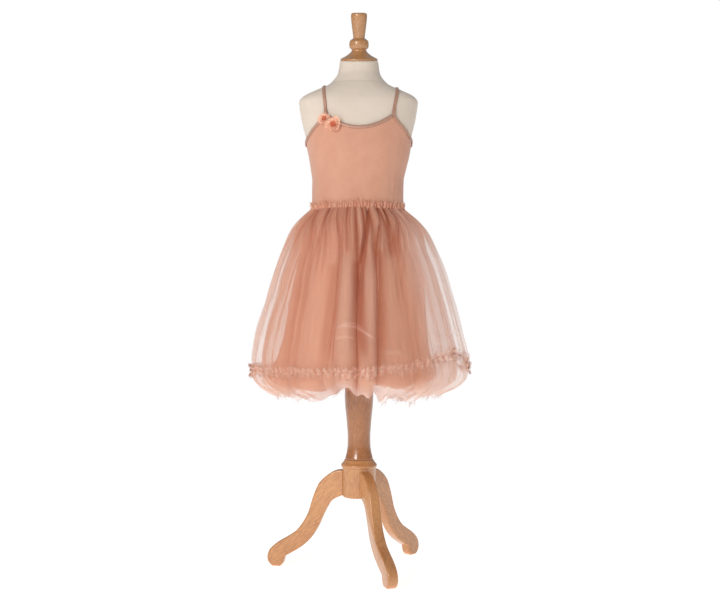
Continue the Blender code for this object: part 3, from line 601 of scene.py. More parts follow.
def knit_finish(name, colour, shade, wale, roughness, sheen):
    """Knitted jersey: columns of loops, with soft unevenness in colour."""
    finish = Finish(name)
    place = finish.cloth_place()
    across, along = finish.part(place, 0), finish.part(place, 1)
    loops = across.wave(wale) * 0.6 + (along + across.wave(wale) * (0.3 * wale)).wave(wale * 0.8) * 0.4
    blotch = finish.noise(place, (26, 26, 0), 4, 0.6)
    slub = finish.noise(place, (60, 900, 0), 2)
    shading = (1 - loops) * 0.35 + blotch.between(0.3, 0.75) * 0.3 + slub.between(0.35, 0.8) * 0.2
    return finish.surface({
        "Base Color": finish.mix(colour, shade, shading),
        "Roughness": blotch * 0.15 + (roughness - 0.07),
        "Sheen Weight": sheen,
        "Sheen Roughness": 0.5,
        "Normal": finish.bump(loops * 0.5 + slub * 0.5, 0.12 * MM, 0.6),
    })


def satin_finish(name, colour, shade):
    """Satin tape: fine threads along it, a soft gloss, and painted shade at its rolled edges and in its
    creases.
    """
    finish = Finish(name)
    place = finish.cloth_place()
    thread = finish.noise(place, (3500, 120, 0), 2)
    crease = finish.noise(place, (90, 160, 0))
    edge = finish.attribute("edge")
    # Painted shade: darker towards the tape's rolled edges and underside, and in its creases; the
    # thread lines are its own tone
    shading = edge * 0.55 + thread.between(0.3, 0.7) * 0.25 + crease.between(0.45, 0.8) * 0.3
    return finish.surface({
        "Base Color": finish.mix(colour, shade, shading),
        "Roughness": thread * 0.12 + 0.34,
        "Metallic": 0.18,
        "Sheen Weight": 0.25,
        "Anisotropic": 0.3,
        "Normal": finish.bump(crease * 0.7 + thread * 0.3, 0.35 * MM, 0.6),
    })


def tulle_finish(name, settings, strength=1.0):
    """Fine net: diamond cells, threads along the cloth, and more cover where it is gathered."""
    colour, deep, pale = settings.tulle, settings.tulle_deep, settings.tulle_pale
    finish = Finish(name)
    place = finish.cloth_place()
    net = finish.net(place, TULLE_CELL) ** 5
    streak = finish.noise(place, (520, 14, 0), 3, 0.6)
    cloud = finish.noise(place, (22, 9, 0))
    speck = finish.noise(place, (700, 420, 0), 2)
    hem = 1 - finish.attribute("foot").between(0.5 * MM, 1.7 * MM)
    crisp = finish.attribute("crisp")
    # The pale mark: paler towards the hem, a painted highlight on the wrinkles and painted light on the
    # +X side
    pale_and_painted_light = finish.attribute("pale")
    # Painted shade: the valley mark darkens the tulle towards its deep colour
    shading = (finish.attribute("valley") * 0.85 + (streak - 0.5) * 0.55 + (cloud - 0.5) * 0.3
               + (speck - 0.5) * 0.35 - crisp * 0.3 - pale_and_painted_light * 0.1 + hem * 0.3)
    tint = finish.mix(colour, deep, shading.between(-0.1, 1.0))
    cover = finish.attribute("cover") * (net * 0.25 + streak.between(0.25, 0.75) * 0.22
                                         + speck.between(0.3, 0.7) * 0.18 + 0.68)
    return finish.sheer_surface({
        "Base Color": finish.mix(tint, pale, pale_and_painted_light),
        "Roughness": streak * 0.2 + 0.6,
        "Sheen Weight": 0.3,
        "Sheen Roughness": 0.4,
        "Normal": finish.bump(streak, 0.4 * MM, 0.35),
    }, (cover * strength + crisp * 0.18 + hem * 0.3).capped(0.97), colour, 0.35)


def wood_finish(name, early, late, place_of):
    """Beech under a thin varnish: long grain lines, short dark flecks and wavering tone."""
    finish = Finish(name)
    place = place_of(finish)
    drift = finish.noise(place, (9, 9, 2.2))
    grain = finish.noise(place, (1 / WOOD_RING, 1 / WOOD_RING, 0.06 / WOOD_RING), 5, 0.55)
    lines = (grain * 7 + drift * 3).wave(1.0) ** 2
    fleck = finish.noise(place, (1500, 1500, 170), 2).between(0.62, 0.74)
    pore = finish.noise(place, (2600, 2600, 60), 2)
    shading = (lines * 0.5 + drift.between(0.3, 0.75) * 0.3 + fleck * 0.45
               + pore.between(0.4, 0.8) * 0.15)
    return finish.surface({
        "Base Color": finish.mix(early, late, shading),
        "Roughness": drift * 0.18 + fleck * 0.15 + 0.26,
        "Coat Weight": 0.85,
        "Coat Roughness": 0.14,
        "Normal": finish.bump(lines * 0.3 - fleck - pore * 0.3, 0.09 * MM, 0.5),
    })


def plain_finish(name, colour, shade, roughness, grain, relief, **more):
    """A finish whose tone wavers at one grain."""
    finish = Finish(name)
    tone = finish.noise(finish.object_place(), (1 / grain,) * 3, 4)
    return finish.surface({
        "Base Color": finish.mix(colour, shade, tone.between(0.3, 0.75)),
        "Roughness": tone * 0.2 + (roughness - 0.1),
        "Normal": finish.bump(tone, relief, 0.6),
        **more,
    })


def eased(positions, values, at):
    """Values at some positions on the monotone cubic curve through some points."""
    positions, values = np.asarray(positions, float), np.asarray(values, float)
    gaps = np.diff(positions)
    rates = np.diff(values) / gaps
    slopes = np.concatenate((rates[:1], np.zeros(len(rates) - 1), rates[-1:]))
    for inner, (before, after) in enumerate(zip(rates, rates[1:]), start=1):
        if before * after > 0:
            slopes[inner] = 2 * before * after / (before + after)
    at = np.clip(at, positions[0], positions[-1])
    low = np.minimum(np.searchsorted(positions, at, side="right") - 1, len(gaps) - 1)
    gap = gaps[low]
    share = (at - positions[low]) / gap
    ease = share * share * (3 - 2 * share)
    start = share * (1 - share) ** 2 * slopes[low]
    end = share * share * (share - 1) * slopes[low + 1]
    return values[low] * (1 - ease) + values[low + 1] * ease + gap * (start + end)


def step(low, high, value):
    """0 up to low and 1 from high, with a smooth rise between."""
    share = np.clip((value - low) / (high - low), 0, 1)
    return share * share * (3 - 2 * share)


class Body:
    """A body given by rings at some heights, with every measure eased between them."""

    def __init__(self, rings):
        rows = sorted(rings)
        self.heights = np.array([row.height for row in rows]) * MM
        self.measures = {
            name: np.array([getattr(row, name) for row in rows]) * MM for name in rows[0]._fields[1:]
        }

    def at(self, name, height):
        return eased(self.heights, self.measures[name], height)

    def even_heights(self, count, closer=0.0):
        """Heights from the top down, evenly spaced along the side, or closer near one height."""
        fine = np.linspace(self.heights[-1], self.heights[0], 800)
        side = self.at("half_width", fine)
        weight = 1 + closer * np.exp(-((fine[1:] - CLOSER_AT) / CLOSER_REACH) ** 2)
        run = np.concatenate(([0], np.cumsum(np.hypot(np.diff(side), np.diff(fine)) * weight)))
        return np.interp(np.linspace(0, run[-1], count), run, fine)


FORM = Body(FORM_RINGS)
SKIRT = Body(SKIRT_RINGS)
LINING = Body(LINING_RINGS)


def turns_round(columns):
    """Evenly spaced turns, one to a row."""
    return np.arange(columns)[:, None] * 360 / columns


def side_share(turn, power):
    """1 at the sides and 0 in front and behind; a higher power keeps it nearer to the sides."""
    return np.abs(np.sin(np.radians(turn))) ** power


def joined(*axes):
    """Points from their three coordinates, spread over the same grid."""
    return np.stack(np.broadcast_arrays(*axes), axis=-1)


def ring_points(half_width, half_depth, sway, turn, height, power=FORM_POWER):
    """Points of rounded rings at some turns."""
    side, ahead = np.sin(np.radians(turn)), np.cos(np.radians(turn))
    across = half_width * np.sign(side) * np.abs(side) ** (2 / power)
    along = half_depth * np.sign(ahead) * np.abs(ahead) ** (2 / power)
    return joined(sway + across, -along, height)


def form_points(turn, height, out=0.0):
    """Points of the dress form's skin at some turns and heights, moved out."""
    half_width, half_depth = FORM.at("half_width", height) + out, FORM.at("half_depth", height) + out
    return ring_points(half_width, half_depth, FORM.at("sway", height), turn, height)


def leaned(points):
    """Points of the neck, lowered at the front and raised at the back towards its top."""
    slant = np.tan(NECK_LEAN) * step(NECK_LEAN_FROM, NECK_TOP, points[..., 2])
    return points + joined(0, 0, points[..., 1] * slant)


def form_level(spots):
    """How far points lie past the form's skin, as a share of its ring: 0 on the skin."""
    height = spots[..., 2]
    across = np.abs(spots[..., 0] - FORM.at("sway", height)) / FORM.at("half_width", height)
    along = np.abs(spots[..., 1]) / FORM.at("half_depth", height)
    return (across ** FORM_POWER + along ** FORM_POWER) ** (1 / FORM_POWER) - 1


def form_rise(spots):
    """The direction and rate in which form_level grows at some points."""
    probe = 0.05 * MM
    return joined(*[(form_level(spots + axis * probe) - form_level(spots - axis * probe)) / (2 * probe)
                    for axis in np.eye(3)])


def unit(vectors):
    return vectors / np.linalg.norm(vectors, axis=-1, keepdims=True)


def on_form(spots, out=0.0):
    """The form's skin by some points, moved out along the skin's normal."""
    spots = np.array(spots, float)
    for _ in range(6):
        rise = form_rise(spots)
        spots = spots - rise * (form_level(spots) / (rise ** 2).sum(axis=-1))[..., None]
    return spots + unit(form_rise(spots)) * np.asarray(out)[..., None]


def skin_points(across, height, facing):
    """Points of the form's skin at places across and heights, on the front or the back."""
    share = np.clip(np.abs(across - FORM.at("sway", height)) / FORM.at("half_width", height), 0, 1)
    along = FORM.at("half_depth", height) * (1 - share ** FORM_POWER) ** (1 / FORM_POWER)
    return joined(across, facing * along, height)


def curve_through(points, count, looped=False):
    """Evenly spaced points along a smooth curve through some points."""
    knots = np.array(points, float)
    if looped:
        knots = np.concatenate((knots[-1:], knots, knots[:2]))
    else:
        knots = np.concatenate(([knots[0] * 2 - knots[1]], knots, [knots[-1] * 2 - knots[-2]]))
    share = np.arange(0, 1, 1 / 16)[:, None]
    fine = []
    for before, start, end, after in zip(knots, knots[1:], knots[2:], knots[3:]):
        fine.append((start * 2 + (end - before) * share
                     + (before * 2 - start * 5 + end * 4 - after) * share ** 2
                     + (start * 3 - before - end * 3 + after) * share ** 3) / 2)
    fine = np.concatenate(fine + [knots[-2:-1]])
    lengths = np.concatenate(([0], np.cumsum(np.linalg.norm(np.diff(fine, axis=0), axis=1))))
    marks = np.linspace(0, lengths[-1], count + 1 if looped else count)
    spots = np.stack([np.interp(marks, lengths, axis) for axis in fine.T], axis=1)
    return spots[:-1] if looped else spots


class Waves:
    """Smooth random waves round the body, the same at every run."""

    def __init__(self, seed, lowest, highest):
        dice = np.random.RandomState(seed)
        self.counts = np.arange(lowest, highest + 1)
        self.phases = dice.uniform(0, 2 * np.pi, len(self.counts))
        self.climbs = dice.uniform(-1, 1, len(self.counts))
        self.strengths = dice.uniform(0.4, 1, len(self.counts)) / np.sqrt(len(self.counts))

    def at(self, turn, height=0.0, climb=0.0):
        """About -1 to 1; climb is how fast the waves change up the cloth, in cycles a metre."""
        total = 0
        for count, phase, rise, strength in zip(self.counts, self.phases, self.climbs, self.strengths):
            total = total + strength * np.sin(count * np.radians(turn) + phase
                                              + rise * climb * 2 * np.pi * height)
        return total * 1.4


class Folds:
    """Folds round a skirt, with how deep in a valley and how lifted each turn is."""

    def __init__(self, folds, start):
        self.folds, self.start = folds, start
        self.starts = np.cumsum([start] + [fold.width for fold in folds])
        self.middles = (self.starts[:-1] + self.starts[1:]) / 2

    def inside(self, turn):
        """Each turn's fold, and how far across the fold it lies."""
        turn = (turn - self.start) % 360 + self.start
        index = np.clip(np.searchsorted(self.starts, turn, side="right") - 1, 0, len(self.folds) - 1)
        widths = np.diff(self.starts)
        return index, np.clip((turn - self.starts[index]) / widths[index], 0, 1)

    def valley(self, turn):
        index, share = self.inside(turn)
        depths = np.array([fold.valley for fold in self.folds])
        beyond = depths[(index + 1) % len(depths)]
        depth = depths[index] + (beyond - depths[index]) * step(0, 1, share)
        return depth * (1 - np.abs(np.sin(np.pi * share)) ** FOLD_ROUND)

    def ridge(self, turn):
        """The gathers inside each fold: 0 between two of them and 1 on one."""
        index, share = self.inside(turn)
        gathers = np.array([fold.gathers for fold in self.folds])[index]
        return 0.5 - 0.5 * np.cos(2 * np.pi * gathers * share)

    def blended(self, name, turn):
        """A measure of the folds, eased from the middle of one to the next."""
        turn = (turn - self.start) % 360 + self.start
        spots = np.concatenate(([self.middles[-1] - 360], self.middles, [self.middles[0] + 360]))
        marks = [getattr(fold, name) for fold in self.folds]
        marks = np.array([marks[-1]] + marks + [marks[0]], float)
        low = np.clip(np.searchsorted(spots, turn) - 1, 0, len(spots) - 2)
        share = step(0, 1, (turn - spots[low]) / (spots[low + 1] - spots[low]))
        return marks[low] * (1 - share) + marks[low + 1] * share


SKIRT_LAY = Folds(SKIRT_FOLDS, SKIRT_FOLDS_FROM)
LINING_LAY = Folds(LINING_LOBES, LINING_LOBES_FROM)
PLEATS = Waves(11, 40, 78)
SOFT_PLEATS = Waves(5, 24, 44)
WANDER = Waves(3, 5, 17)
CRUMPLE = Waves(8, 12, 40)
STRENGTH = Waves(21, 4, 14)
RAGGED = Waves(31, 90, 260)
HEM_LOOPS = Waves(13, 14, 46)
RUFFLE = Waves(17, 70, 150)


def lift_share(height):
    """How much of the hem's lift a height takes: all of it at the hem, none above."""
    return 1 - step(HEM, HEM_LIFT_FROM, height)


def waist_droop(turn, height):
    """How far the waist seam hangs lower at the sides than in the middle."""
    return WAIST_DROOP * side_share(turn, 2) * step(WAIST_DROOP_FROM, WAIST_SEAM, height)


def skirt_power(height):
    """How square a skirt's section is: as the form at the waist, and elliptic further down."""
    return SKIRT_POWER + (FORM_POWER - SKIRT_POWER) * step(SKIRT_ROUND_BELOW, WAIST_SEAM, height)


def routed(route, at, spread):
    """How close places lie to a route, from 0 to 1, and their share of the way along it.

    The route is pairs of a position and a value; at is the position and value of the places.
    """
    rows = sorted(route)
    marks, values = [row[0] for row in rows], [row[1] for row in rows]
    position, value = at
    share = (position - marks[0]) / (marks[-1] - marks[0])
    return np.exp(-((value - eased(marks, values, position)) / spread) ** 2), share


def near_turn(turn, middle):
    """A turn, moved by whole turns to lie near another."""
    return (turn - middle + 180) % 360 - 180 + middle


def valley_marks(turn, height):
    """How deep the single valleys sink at some turns and heights, and their painted shade."""
    depth, shade = 0, 0
    for valley in VALLEYS:
        here = near_turn(turn, valley.route[0][1])
        close, share = routed([(level * MM, angle) for level, angle in valley.route],
                              (height, here), valley.spread)
        fading = step(-0.03, 0.3, share) * (1 - step(1.0, 1.04, share))
        depth = depth + valley.depth * MM * close * fading
        shade = shade + valley.shade * close * fading
    return depth, shade


def wrinkle_height(turn, height):
    """How high the pale wrinkles across the tulle stand."""
    total = 0
    for wrinkle in WRINKLES:
        here = near_turn(turn, wrinkle.route[0][0])
        close, share = routed([(angle, level * MM) for angle, level in wrinkle.route],
                              (here, height), wrinkle.spread * MM)
        inside = step(-0.02, 0.2, share) * (1 - step(0.8, 1.02, share))
        total = total + wrinkle.height * MM * inside * close
    return total


def panel_share(turn, height):
    """1 on the fold that hangs in front in the middle, 0 beside it."""
    edges = [eased(*zip(*[(level * MM, angle) for level, angle in sorted(edge)]), height)
             for edge in PANEL_EDGES]
    here = near_turn(turn, 0)
    inside = step(-0.4, 0.4, here - edges[0]) * (1 - step(-0.4, 0.4, here - edges[1]))
    return inside * (1 - step(*PANEL_FADES, height) * 0.7)


def skirt_shape(turn, height, pleat, inside=0.0, out=0.0, fold_share=1.0):
    """Points of a tulle layer, with how deep in a valley and how high on a wrinkle each lies."""
    below = step(0, 0.25, WAIST_SEAM - height)
    wander = WANDER.at(turn, height, 1.5) * 2.2 * below
    fold = SKIRT.at("fold", height) * SKIRT_LAY.valley(turn + wander) * fold_share
    gather = SKIRT.at("gather", height) * (1 - SKIRT_LAY.ridge(turn + wander))
    notch = np.clip(0.5 - 0.6 * PLEATS.at(turn, height, 1), 0, 1.2) ** 2
    fine = 1.2 * pleat * (1 - step(0.02, 0.13, WAIST_SEAM - height)) * notch
    soft = pleat * 0.9 * step(0.01, 0.07, WAIST_SEAM - height) * (
        1 - 0.6 * step(0.10, 0.33, WAIST_SEAM - height))
    soft = soft * (0.5 - 0.5 * SOFT_PLEATS.at(turn + wander, height, 2)) * (
        0.8 + 0.5 * STRENGTH.at(turn))
    soft = soft * (1 - 0.6 * side_share(turn, 4))
    crumple = CRUMPLE_HEIGHT * below * CRUMPLE.at(turn, height, 14)
    crease, shade = valley_marks(turn, height)
    wrinkle = wrinkle_height(turn, height)
    loops = HEM_LOOP_HEIGHT * HEM_LOOPS.at(turn) * (1 - step(HEM, HEM_LOOPS_FROM, height))
    reach = out - inside - fold - gather - fine - soft - crease + crumple + wrinkle
    lift = SKIRT_LAY.blended("lift", turn) * MM * lift_share(height)
    level = height + lift + loops - waist_droop(turn, height)
    points = ring_points(SKIRT.at("half_width", height) + reach, SKIRT.at("half_depth", height) + reach,
                         SKIRT.at("sway", height), turn, level, skirt_power(height))
    # The valley share is painted shade: deepest where folds, gathers and pleats sink and along the
    # listed valleys
    valley = (fold / DARK_FOLD + gather / DARK_GATHER + fine / DARK_PLEAT + soft / DARK_SOFT_PLEAT
              + shade - 0.08)
    shape = points.shape[:-1]
    return points, np.broadcast_to(valley, shape), np.broadcast_to(wrinkle, shape)


def lining_shape(turn, height):
    """Points of the lining, with how deep in a trough each of them lies."""
    settled = 1 - step(LINING_FOLDS_FULL, LINING_FOLDS_FROM, height)
    reach = 1 + (LINING_LAY.blended("reach", turn) - 1) * settled
    valley = LINING_LAY.valley(turn) * settled
    soft = LINING_WAVE * settled * SOFT_PLEATS.at(turn, height, 3)
    sunk = LINING_FOLD_DEPTH * valley - soft
    lift = (LINING_LAY.blended("lift", turn) + SKIRT_LAY.blended("lift", turn)) * MM
    points = ring_points(LINING.at("half_width", height) * reach - sunk,
                         LINING.at("half_depth", height) * reach - sunk,
                         LINING.at("sway", height), turn,
                         height + lift * lift_share(height) - waist_droop(turn, height),
                         skirt_power(height))
    return points, np.broadcast_to(valley, points.shape[:-1])


def new_piece(name, mesh, material):
    """An object for a mesh, with its one material."""
    mesh.materials.clear()
    mesh.materials.append(material)
    piece = bpy.data.objects.new(name, mesh)
    bpy.context.scene.collection.objects.link(piece)
    return piece


def mark_points(mesh, marks):
    """Put named numbers or vectors on a mesh's points."""
    for mark, values in marks.items():
        values = np.asarray(values, float).ravel()
        single = len(values) == len(mesh.vertices)
        layer = mesh.attributes.new(mark, "FLOAT" if single else "FLOAT_VECTOR", "POINT")
        layer.data.foreach_set("value" if single else "vector", values)


def vertex_places(mesh):
    """The places of a mesh's points, one to a row."""
    places = np.empty(len(mesh.vertices) * 3)
    mesh.vertices.foreach_get("co", places)
    return places.reshape(-1, 3)


def smooth_shaded(mesh, sharp_from):
    """Shade a mesh smoothly, apart from its edges that turn by more than some degrees."""
    mesh.polygons.foreach_set("use_smooth", np.ones(len(mesh.polygons), bool))
    mesh.set_sharp_from_angle(angle=radians(sharp_from))


@contextmanager
def shaped(mesh):
    """A mesh opened for bmesh's operations and written back after them."""
    shape = bmesh.new()
    shape.from_mesh(mesh)
    yield shape
    shape.to_mesh(mesh)
    shape.free()


def faces_mesh(name, points, faces, corner_places=None, marks=None):
    """A smooth mesh of quads, with its cloth map and its named marks for each point."""
    points, faces = np.asarray(points, float).reshape(-1, 3), np.asarray(faces).reshape(-1, 4)
    mesh = bpy.data.meshes.new(name)
    mesh.vertices.add(len(points))
    mesh.vertices.foreach_set("co", points.ravel())
    mesh.loops.add(faces.size)
    mesh.loops.foreach_set("vertex_index", faces.ravel())
    mesh.polygons.add(len(faces))
    mesh.polygons.foreach_set("loop_start", np.arange(0, faces.size, 4))
    mesh.update(calc_edges=True)
    mesh.polygons.foreach_set("use_smooth", np.ones(len(faces), bool))
    if corner_places is not None:
        chart = mesh.uv_layers.new(name="cloth")
        chart.data.foreach_set("uv", np.asarray(corner_places, float).ravel())
    mark_points(mesh, marks or {})
    mesh.validate()
    return mesh


def grid_mesh(name, grid, looped=False, cloth=None, marks=None):
    """A mesh of a grid of points, as columns of rows from the top down, growing in turn."""
    columns, rows = grid.shape[:2]
    numbers = np.arange(columns * rows).reshape(columns, rows)
    spans = columns if looped else columns - 1
    start, beside = np.arange(spans), (np.arange(spans) + 1) % columns
    faces = np.stack([numbers[start, :-1], numbers[start, 1:], numbers[beside, 1:],
                      numbers[beside, :-1]], axis=-1)
    width, lengths = cloth or (1.0, np.linspace(0, 1, rows))
    across = np.linspace(0, width, spans + 1)
    left, right = (np.repeat(part[:, None], rows - 1, axis=1) for part in (across[:-1], across[1:]))
    high, low = (np.repeat(part[None], spans, axis=0) for part in (lengths[:-1], lengths[1:]))
    places = np.stack([np.stack(pair, axis=-1) for pair in
                       ((left, high), (left, low), (right, low), (right, high))], axis=2)
    return faces_mesh(name, grid, faces, places, marks)


def run_lengths(grid):
    """The mean length down a grid of points to each of its rows."""
    steps = np.linalg.norm(np.diff(grid, axis=1), axis=2).mean(axis=0)
    return np.concatenate(([0], np.cumsum(steps)))


def run_widths(grid):
    """The length round each row of a looped grid of points."""
    return np.linalg.norm(grid - np.roll(grid, 1, axis=0), axis=2).sum(axis=0)


def baked(piece):
    """The piece with its modifiers worked into its mesh."""
    mesh = bpy.data.meshes.new_from_object(piece.evaluated_get(bpy.context.evaluated_depsgraph_get()))
    piece.modifiers.clear()
    piece.data = mesh
    return piece


def with_wall(piece, thickness):
    """Cloth with its real thickness, inwards, worked into its mesh."""
    solid = piece.modifiers.new("Thickness", "SOLIDIFY")
    solid.thickness = thickness
    solid.offset = -1.0
    return baked(piece)


def node_group(name, inputs):
    """A Geometry Nodes tree with geometry in and out, a material and some named inputs."""
    tree = bpy.data.node_groups.new(name, "GeometryNodeTree")
    tree.interface.new_socket("Geometry", in_out="OUTPUT", socket_type="NodeSocketGeometry")
    for label, kind in {"Geometry": "Geometry", **inputs, "Material": "Material"}.items():
        tree.interface.new_socket(label, in_out="INPUT", socket_type="NodeSocket" + kind)
    return tree


class Pattern(Graph):
    """A Geometry Nodes tree, from its named inputs to the finished geometry."""

    def __init__(self, name, inputs):
        super().__init__(node_group(name, inputs))
        self.source = self.tree.nodes.new("NodeGroupInput")

    def given(self, name):
        return Socket(self, self.source.outputs[name])

    def named(self, name, kind="FLOAT_VECTOR"):
        return self.add("GeometryNodeInputNamedAttribute", {"data_type": kind}, {"Name": name})

    def along(self, axis):
        """The rotation that lays an axis along each point's own direction."""
        return self.add("FunctionNodeAlignRotationToVector", {"axis": axis},
                        {"Vector": self.named("ahead")})

    def vector(self, *parts):
        return self.add("ShaderNodeCombineXYZ", None, dict(enumerate(parts)))

    def real(self, geometry):
        return self.add("GeometryNodeRealizeInstances", None, {0: geometry})

    def placed(self, points, instance, rotation, scale):
        """A copy of some geometry on each point."""
        return self.add("GeometryNodeInstanceOnPoints", None, {
            "Points": points, "Instance": instance, "Rotation": rotation, "Scale": scale})

    def end(self, geometry):
        """Realize, give the material, and close the tree."""
        done = self.add("GeometryNodeSetMaterial", None, {"Geometry": self.real(geometry),
                                                          "Material": self.given("Material")})
        sink = self.tree.nodes.new("NodeGroupOutput")
        self.tree.links.new(done.socket, sink.inputs[0])

    def applied(self, piece, values):
        """The piece with this tree run on it and worked into its mesh."""
        modifier = piece.modifiers.new(self.tree.name, "NODES")
        modifier.node_group = self.tree
        for item in self.tree.interface.items_tree:
            if item.in_out == "INPUT" and item.name in values:
                modifier[item.identifier] = values[item.name]
        return baked(piece)


def line_mesh(name, points, links, marks=None):
    """A mesh of points and edges, with named vectors and numbers for each point."""
    mesh = bpy.data.meshes.new(name)
    mesh.from_pydata([tuple(point) for point in points], links, [])
    mark_points(mesh, marks or {})
    return mesh


def lathe_pattern():
    """Turn a profile, drawn as radius across X and height down Y, about the vertical axis."""
    pattern = Pattern("Lathe", {"Steps": "Int"})
    profile = pattern.add("GeometryNodeMeshToCurve", None, {"Mesh": pattern.given("Geometry")})
    spindle = pattern.add("GeometryNodeCurvePrimitiveCircle", None,
                          {"Resolution": pattern.given("Steps"), "Radius": SPINDLE})
    sides = pattern.add("GeometryNodeCurveToMesh", None, {"Curve": spindle, "Profile Curve": profile})
    pattern.end(pattern.add("GeometryNodeMergeByDistance", None,
                            {"Geometry": sides, "Distance": 0.01 * MM}))
    return pattern


def stitch_pattern():
    """One short rounded thread on each point, along the point's own direction."""
    pattern = Pattern("Stitching", {"Length": "Float", "Thread": "Float"})
    bead = pattern.add("GeometryNodeMeshUVSphere", None, {"Segments": 6, "Rings": 4, "Radius": 0.5})
    thread = pattern.given("Thread")
    size = pattern.vector(pattern.given("Length"), thread, thread)
    pattern.end(pattern.placed(pattern.given("Geometry"), bead, pattern.along("X"), size))
    return pattern


def fray_pattern():
    """One thin wavering thread on each point, along its direction and as long as its reach."""
    pattern = Pattern("Fraying", {"Thread": "Float", "Waver": "Float"})
    line = pattern.add("GeometryNodeCurvePrimitiveLine", None, {"End": (0, 0, 1)})
    line = pattern.add("GeometryNodeResampleCurve", None, {"Curve": line, "Count": 6})
    round_it = pattern.add("GeometryNodeCurvePrimitiveCircle", None,
                           {"Resolution": 3, "Radius": pattern.given("Thread")})
    thread = pattern.add("GeometryNodeCurveToMesh", None, {"Curve": line, "Profile Curve": round_it})
    size = pattern.vector(1.0, 1.0, pattern.named("reach", "FLOAT"))
    threads = pattern.placed(pattern.given("Geometry"), thread, pattern.along("Z"), size)
    drift = pattern.add("ShaderNodeTexNoise", None, {"Scale": 160.0, "Detail": 1.0}, 1)
    drift = pattern.add("ShaderNodeVectorMath", {"operation": "SUBTRACT"},
                        {0: drift, 1: (0.5, 0.5, 0.5)})
    drift = pattern.add("ShaderNodeVectorMath", {"operation": "SCALE"},
                        {0: drift, "Scale": pattern.given("Waver")})
    pattern.end(pattern.add("GeometryNodeSetPosition", None,
                            {"Geometry": pattern.real(threads), "Offset": drift}))
    return pattern


def blossom_pattern():
    """Petals round a middle, each turned, tilted and sized a little differently."""
    pattern = Pattern("Blossom", {"Petals": "Int", "Seed": "Int", "Tilt": "Float"})
    points = pattern.add("GeometryNodePoints", None, {"Count": pattern.given("Petals")})
    index = pattern.add("GeometryNodeInputIndex")

    def chance(low, high, seed):
        return pattern.add("FunctionNodeRandomValue", {"data_type": "FLOAT"},
                           {2: low, 3: high, "ID": index, "Seed": seed}, 1)

    seed = pattern.given("Seed")
    share = index.math("DIVIDE", index, pattern.given("Petals"))
    tilt = chance(0.4, 1.0, seed + 7) * pattern.given("Tilt") * -1
    turn = pattern.vector(0.0, tilt, share * (2 * np.pi) + chance(-0.22, 0.22, seed))
    size = chance(0.82, 1.06, seed + 3)
    pattern.end(pattern.placed(points, pattern.given("Geometry"), turn, size))
    return pattern


def make_floor(settings):
    """The white floor, a large disc."""
    ground = bpy.data.meshes.new("floor")
    with shaped(ground) as shape:
        bmesh.ops.create_circle(shape, cap_ends=True, radius=FLOOR_RADIUS, segments=96)
    finish = Finish("floor_paper")
    speck = finish.noise(finish.object_place(), (30, 30, 30))
    paper = finish.surface({
        "Base Color": finish.mix(settings.floor_colour, (1, 1, 1), speck),
        "Roughness": speck * 0.1 + 0.75,
        "Emission Color": (1, 1, 1, 1),
        "Emission Strength": settings.floor_glow,
    })
    new_piece("floor", ground, paper)


def make_stage(settings):
    """The floor, the light and the camera at the photograph's place."""
    scene = bpy.context.scene
    make_floor(settings)
    sky = bpy.data.worlds.new("studio")
    sky.use_nodes = True
    graph = Graph(sky.node_tree)
    seen = graph.add("ShaderNodeLightPath")
    strength = seen * (1.0 - settings.sky) + settings.sky
    back = graph.add("ShaderNodeBackground", None, {"Color": (1, 1, 1, 1), "Strength": strength})
    graph.add("ShaderNodeOutputWorld", None, {"Surface": back})
    scene.world = sky
    for name, place, aim, size in LAMPS:
        light = bpy.data.lights.new(name, "AREA")
        light.shape = "DISK"
        light.size = size
        light.energy = getattr(settings, name)
        lamp = bpy.data.objects.new(name, light)
        lamp.location = place
        lamp.rotation_euler = (Vector(place) - Vector(aim)).to_track_quat("Z", "Y").to_euler()
        scene.collection.objects.link(lamp)
    lens = bpy.data.cameras.new("camera")
    lens.lens = CAMERA_LENS
    lens.sensor_width = CAMERA_SENSOR
    lens.clip_end = CAMERA_CLIP
    view = bpy.data.objects.new("camera", lens)
    view.location = CAMERA_PLACE
    view.rotation_euler = (radians(90), 0, 0)
    scene.collection.objects.link(view)
    scene.camera = view
    scene.view_settings.view_transform = "Standard"
    scene.cycles.transparent_max_bounces = 48


def make_form(settings):
    """The stuffed form: stretched jersey with a seam round the foot of the neck."""
    columns, rows = FORM_GRID
    turn = turns_round(columns)
    height = FORM.even_heights(rows)[None]
    seam = np.exp(-((height - NECK_SEAM) / NECK_SEAM_HALF) ** 2)
    skin = leaned(form_points(turn, height, -settings.seam_depth * seam))
    top, foot = (np.broadcast_to([0, 0, end], (columns, 1, 3)) for end in FORM.heights[[-1, 0]])
    grid = np.concatenate((top, skin, foot), axis=1)
    marks = {"seam": np.pad(np.broadcast_to(seam, skin.shape[:2]), ((0, 0), (1, 1)))}
    mesh = grid_mesh("form_skin", grid, True, (0.62, run_lengths(grid)), marks)
    merged_by_place(mesh)
    finish = Finish("form_jersey")
    place = finish.cloth_place()
    loops = finish.part(place, 0).wave(1.1 * MM) * finish.part(place, 1).wave(0.9 * MM)
    blotch = finish.noise(place, (14, 14, 0), 4, 0.6)
    pill = finish.noise(place, (420, 420, 0), 2)
    dark = blotch.between(0.3, 0.75) * 0.45 + (1 - loops) * 0.2 + finish.attribute("seam") * 0.7
    jersey = finish.surface({
        "Base Color": finish.mix(settings.colour, settings.shade, dark),
        "Roughness": blotch * 0.15 + 0.72,
        "Sheen Weight": 0.2,
        "Normal": finish.bump(loops * 0.6 + pill * 0.4, 0.12 * MM, 0.6),
    })
    form = new_piece("form_skin", mesh, jersey)
    smooth_shaded(mesh, 50)
    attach(form, "root")
    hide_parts("form_body")


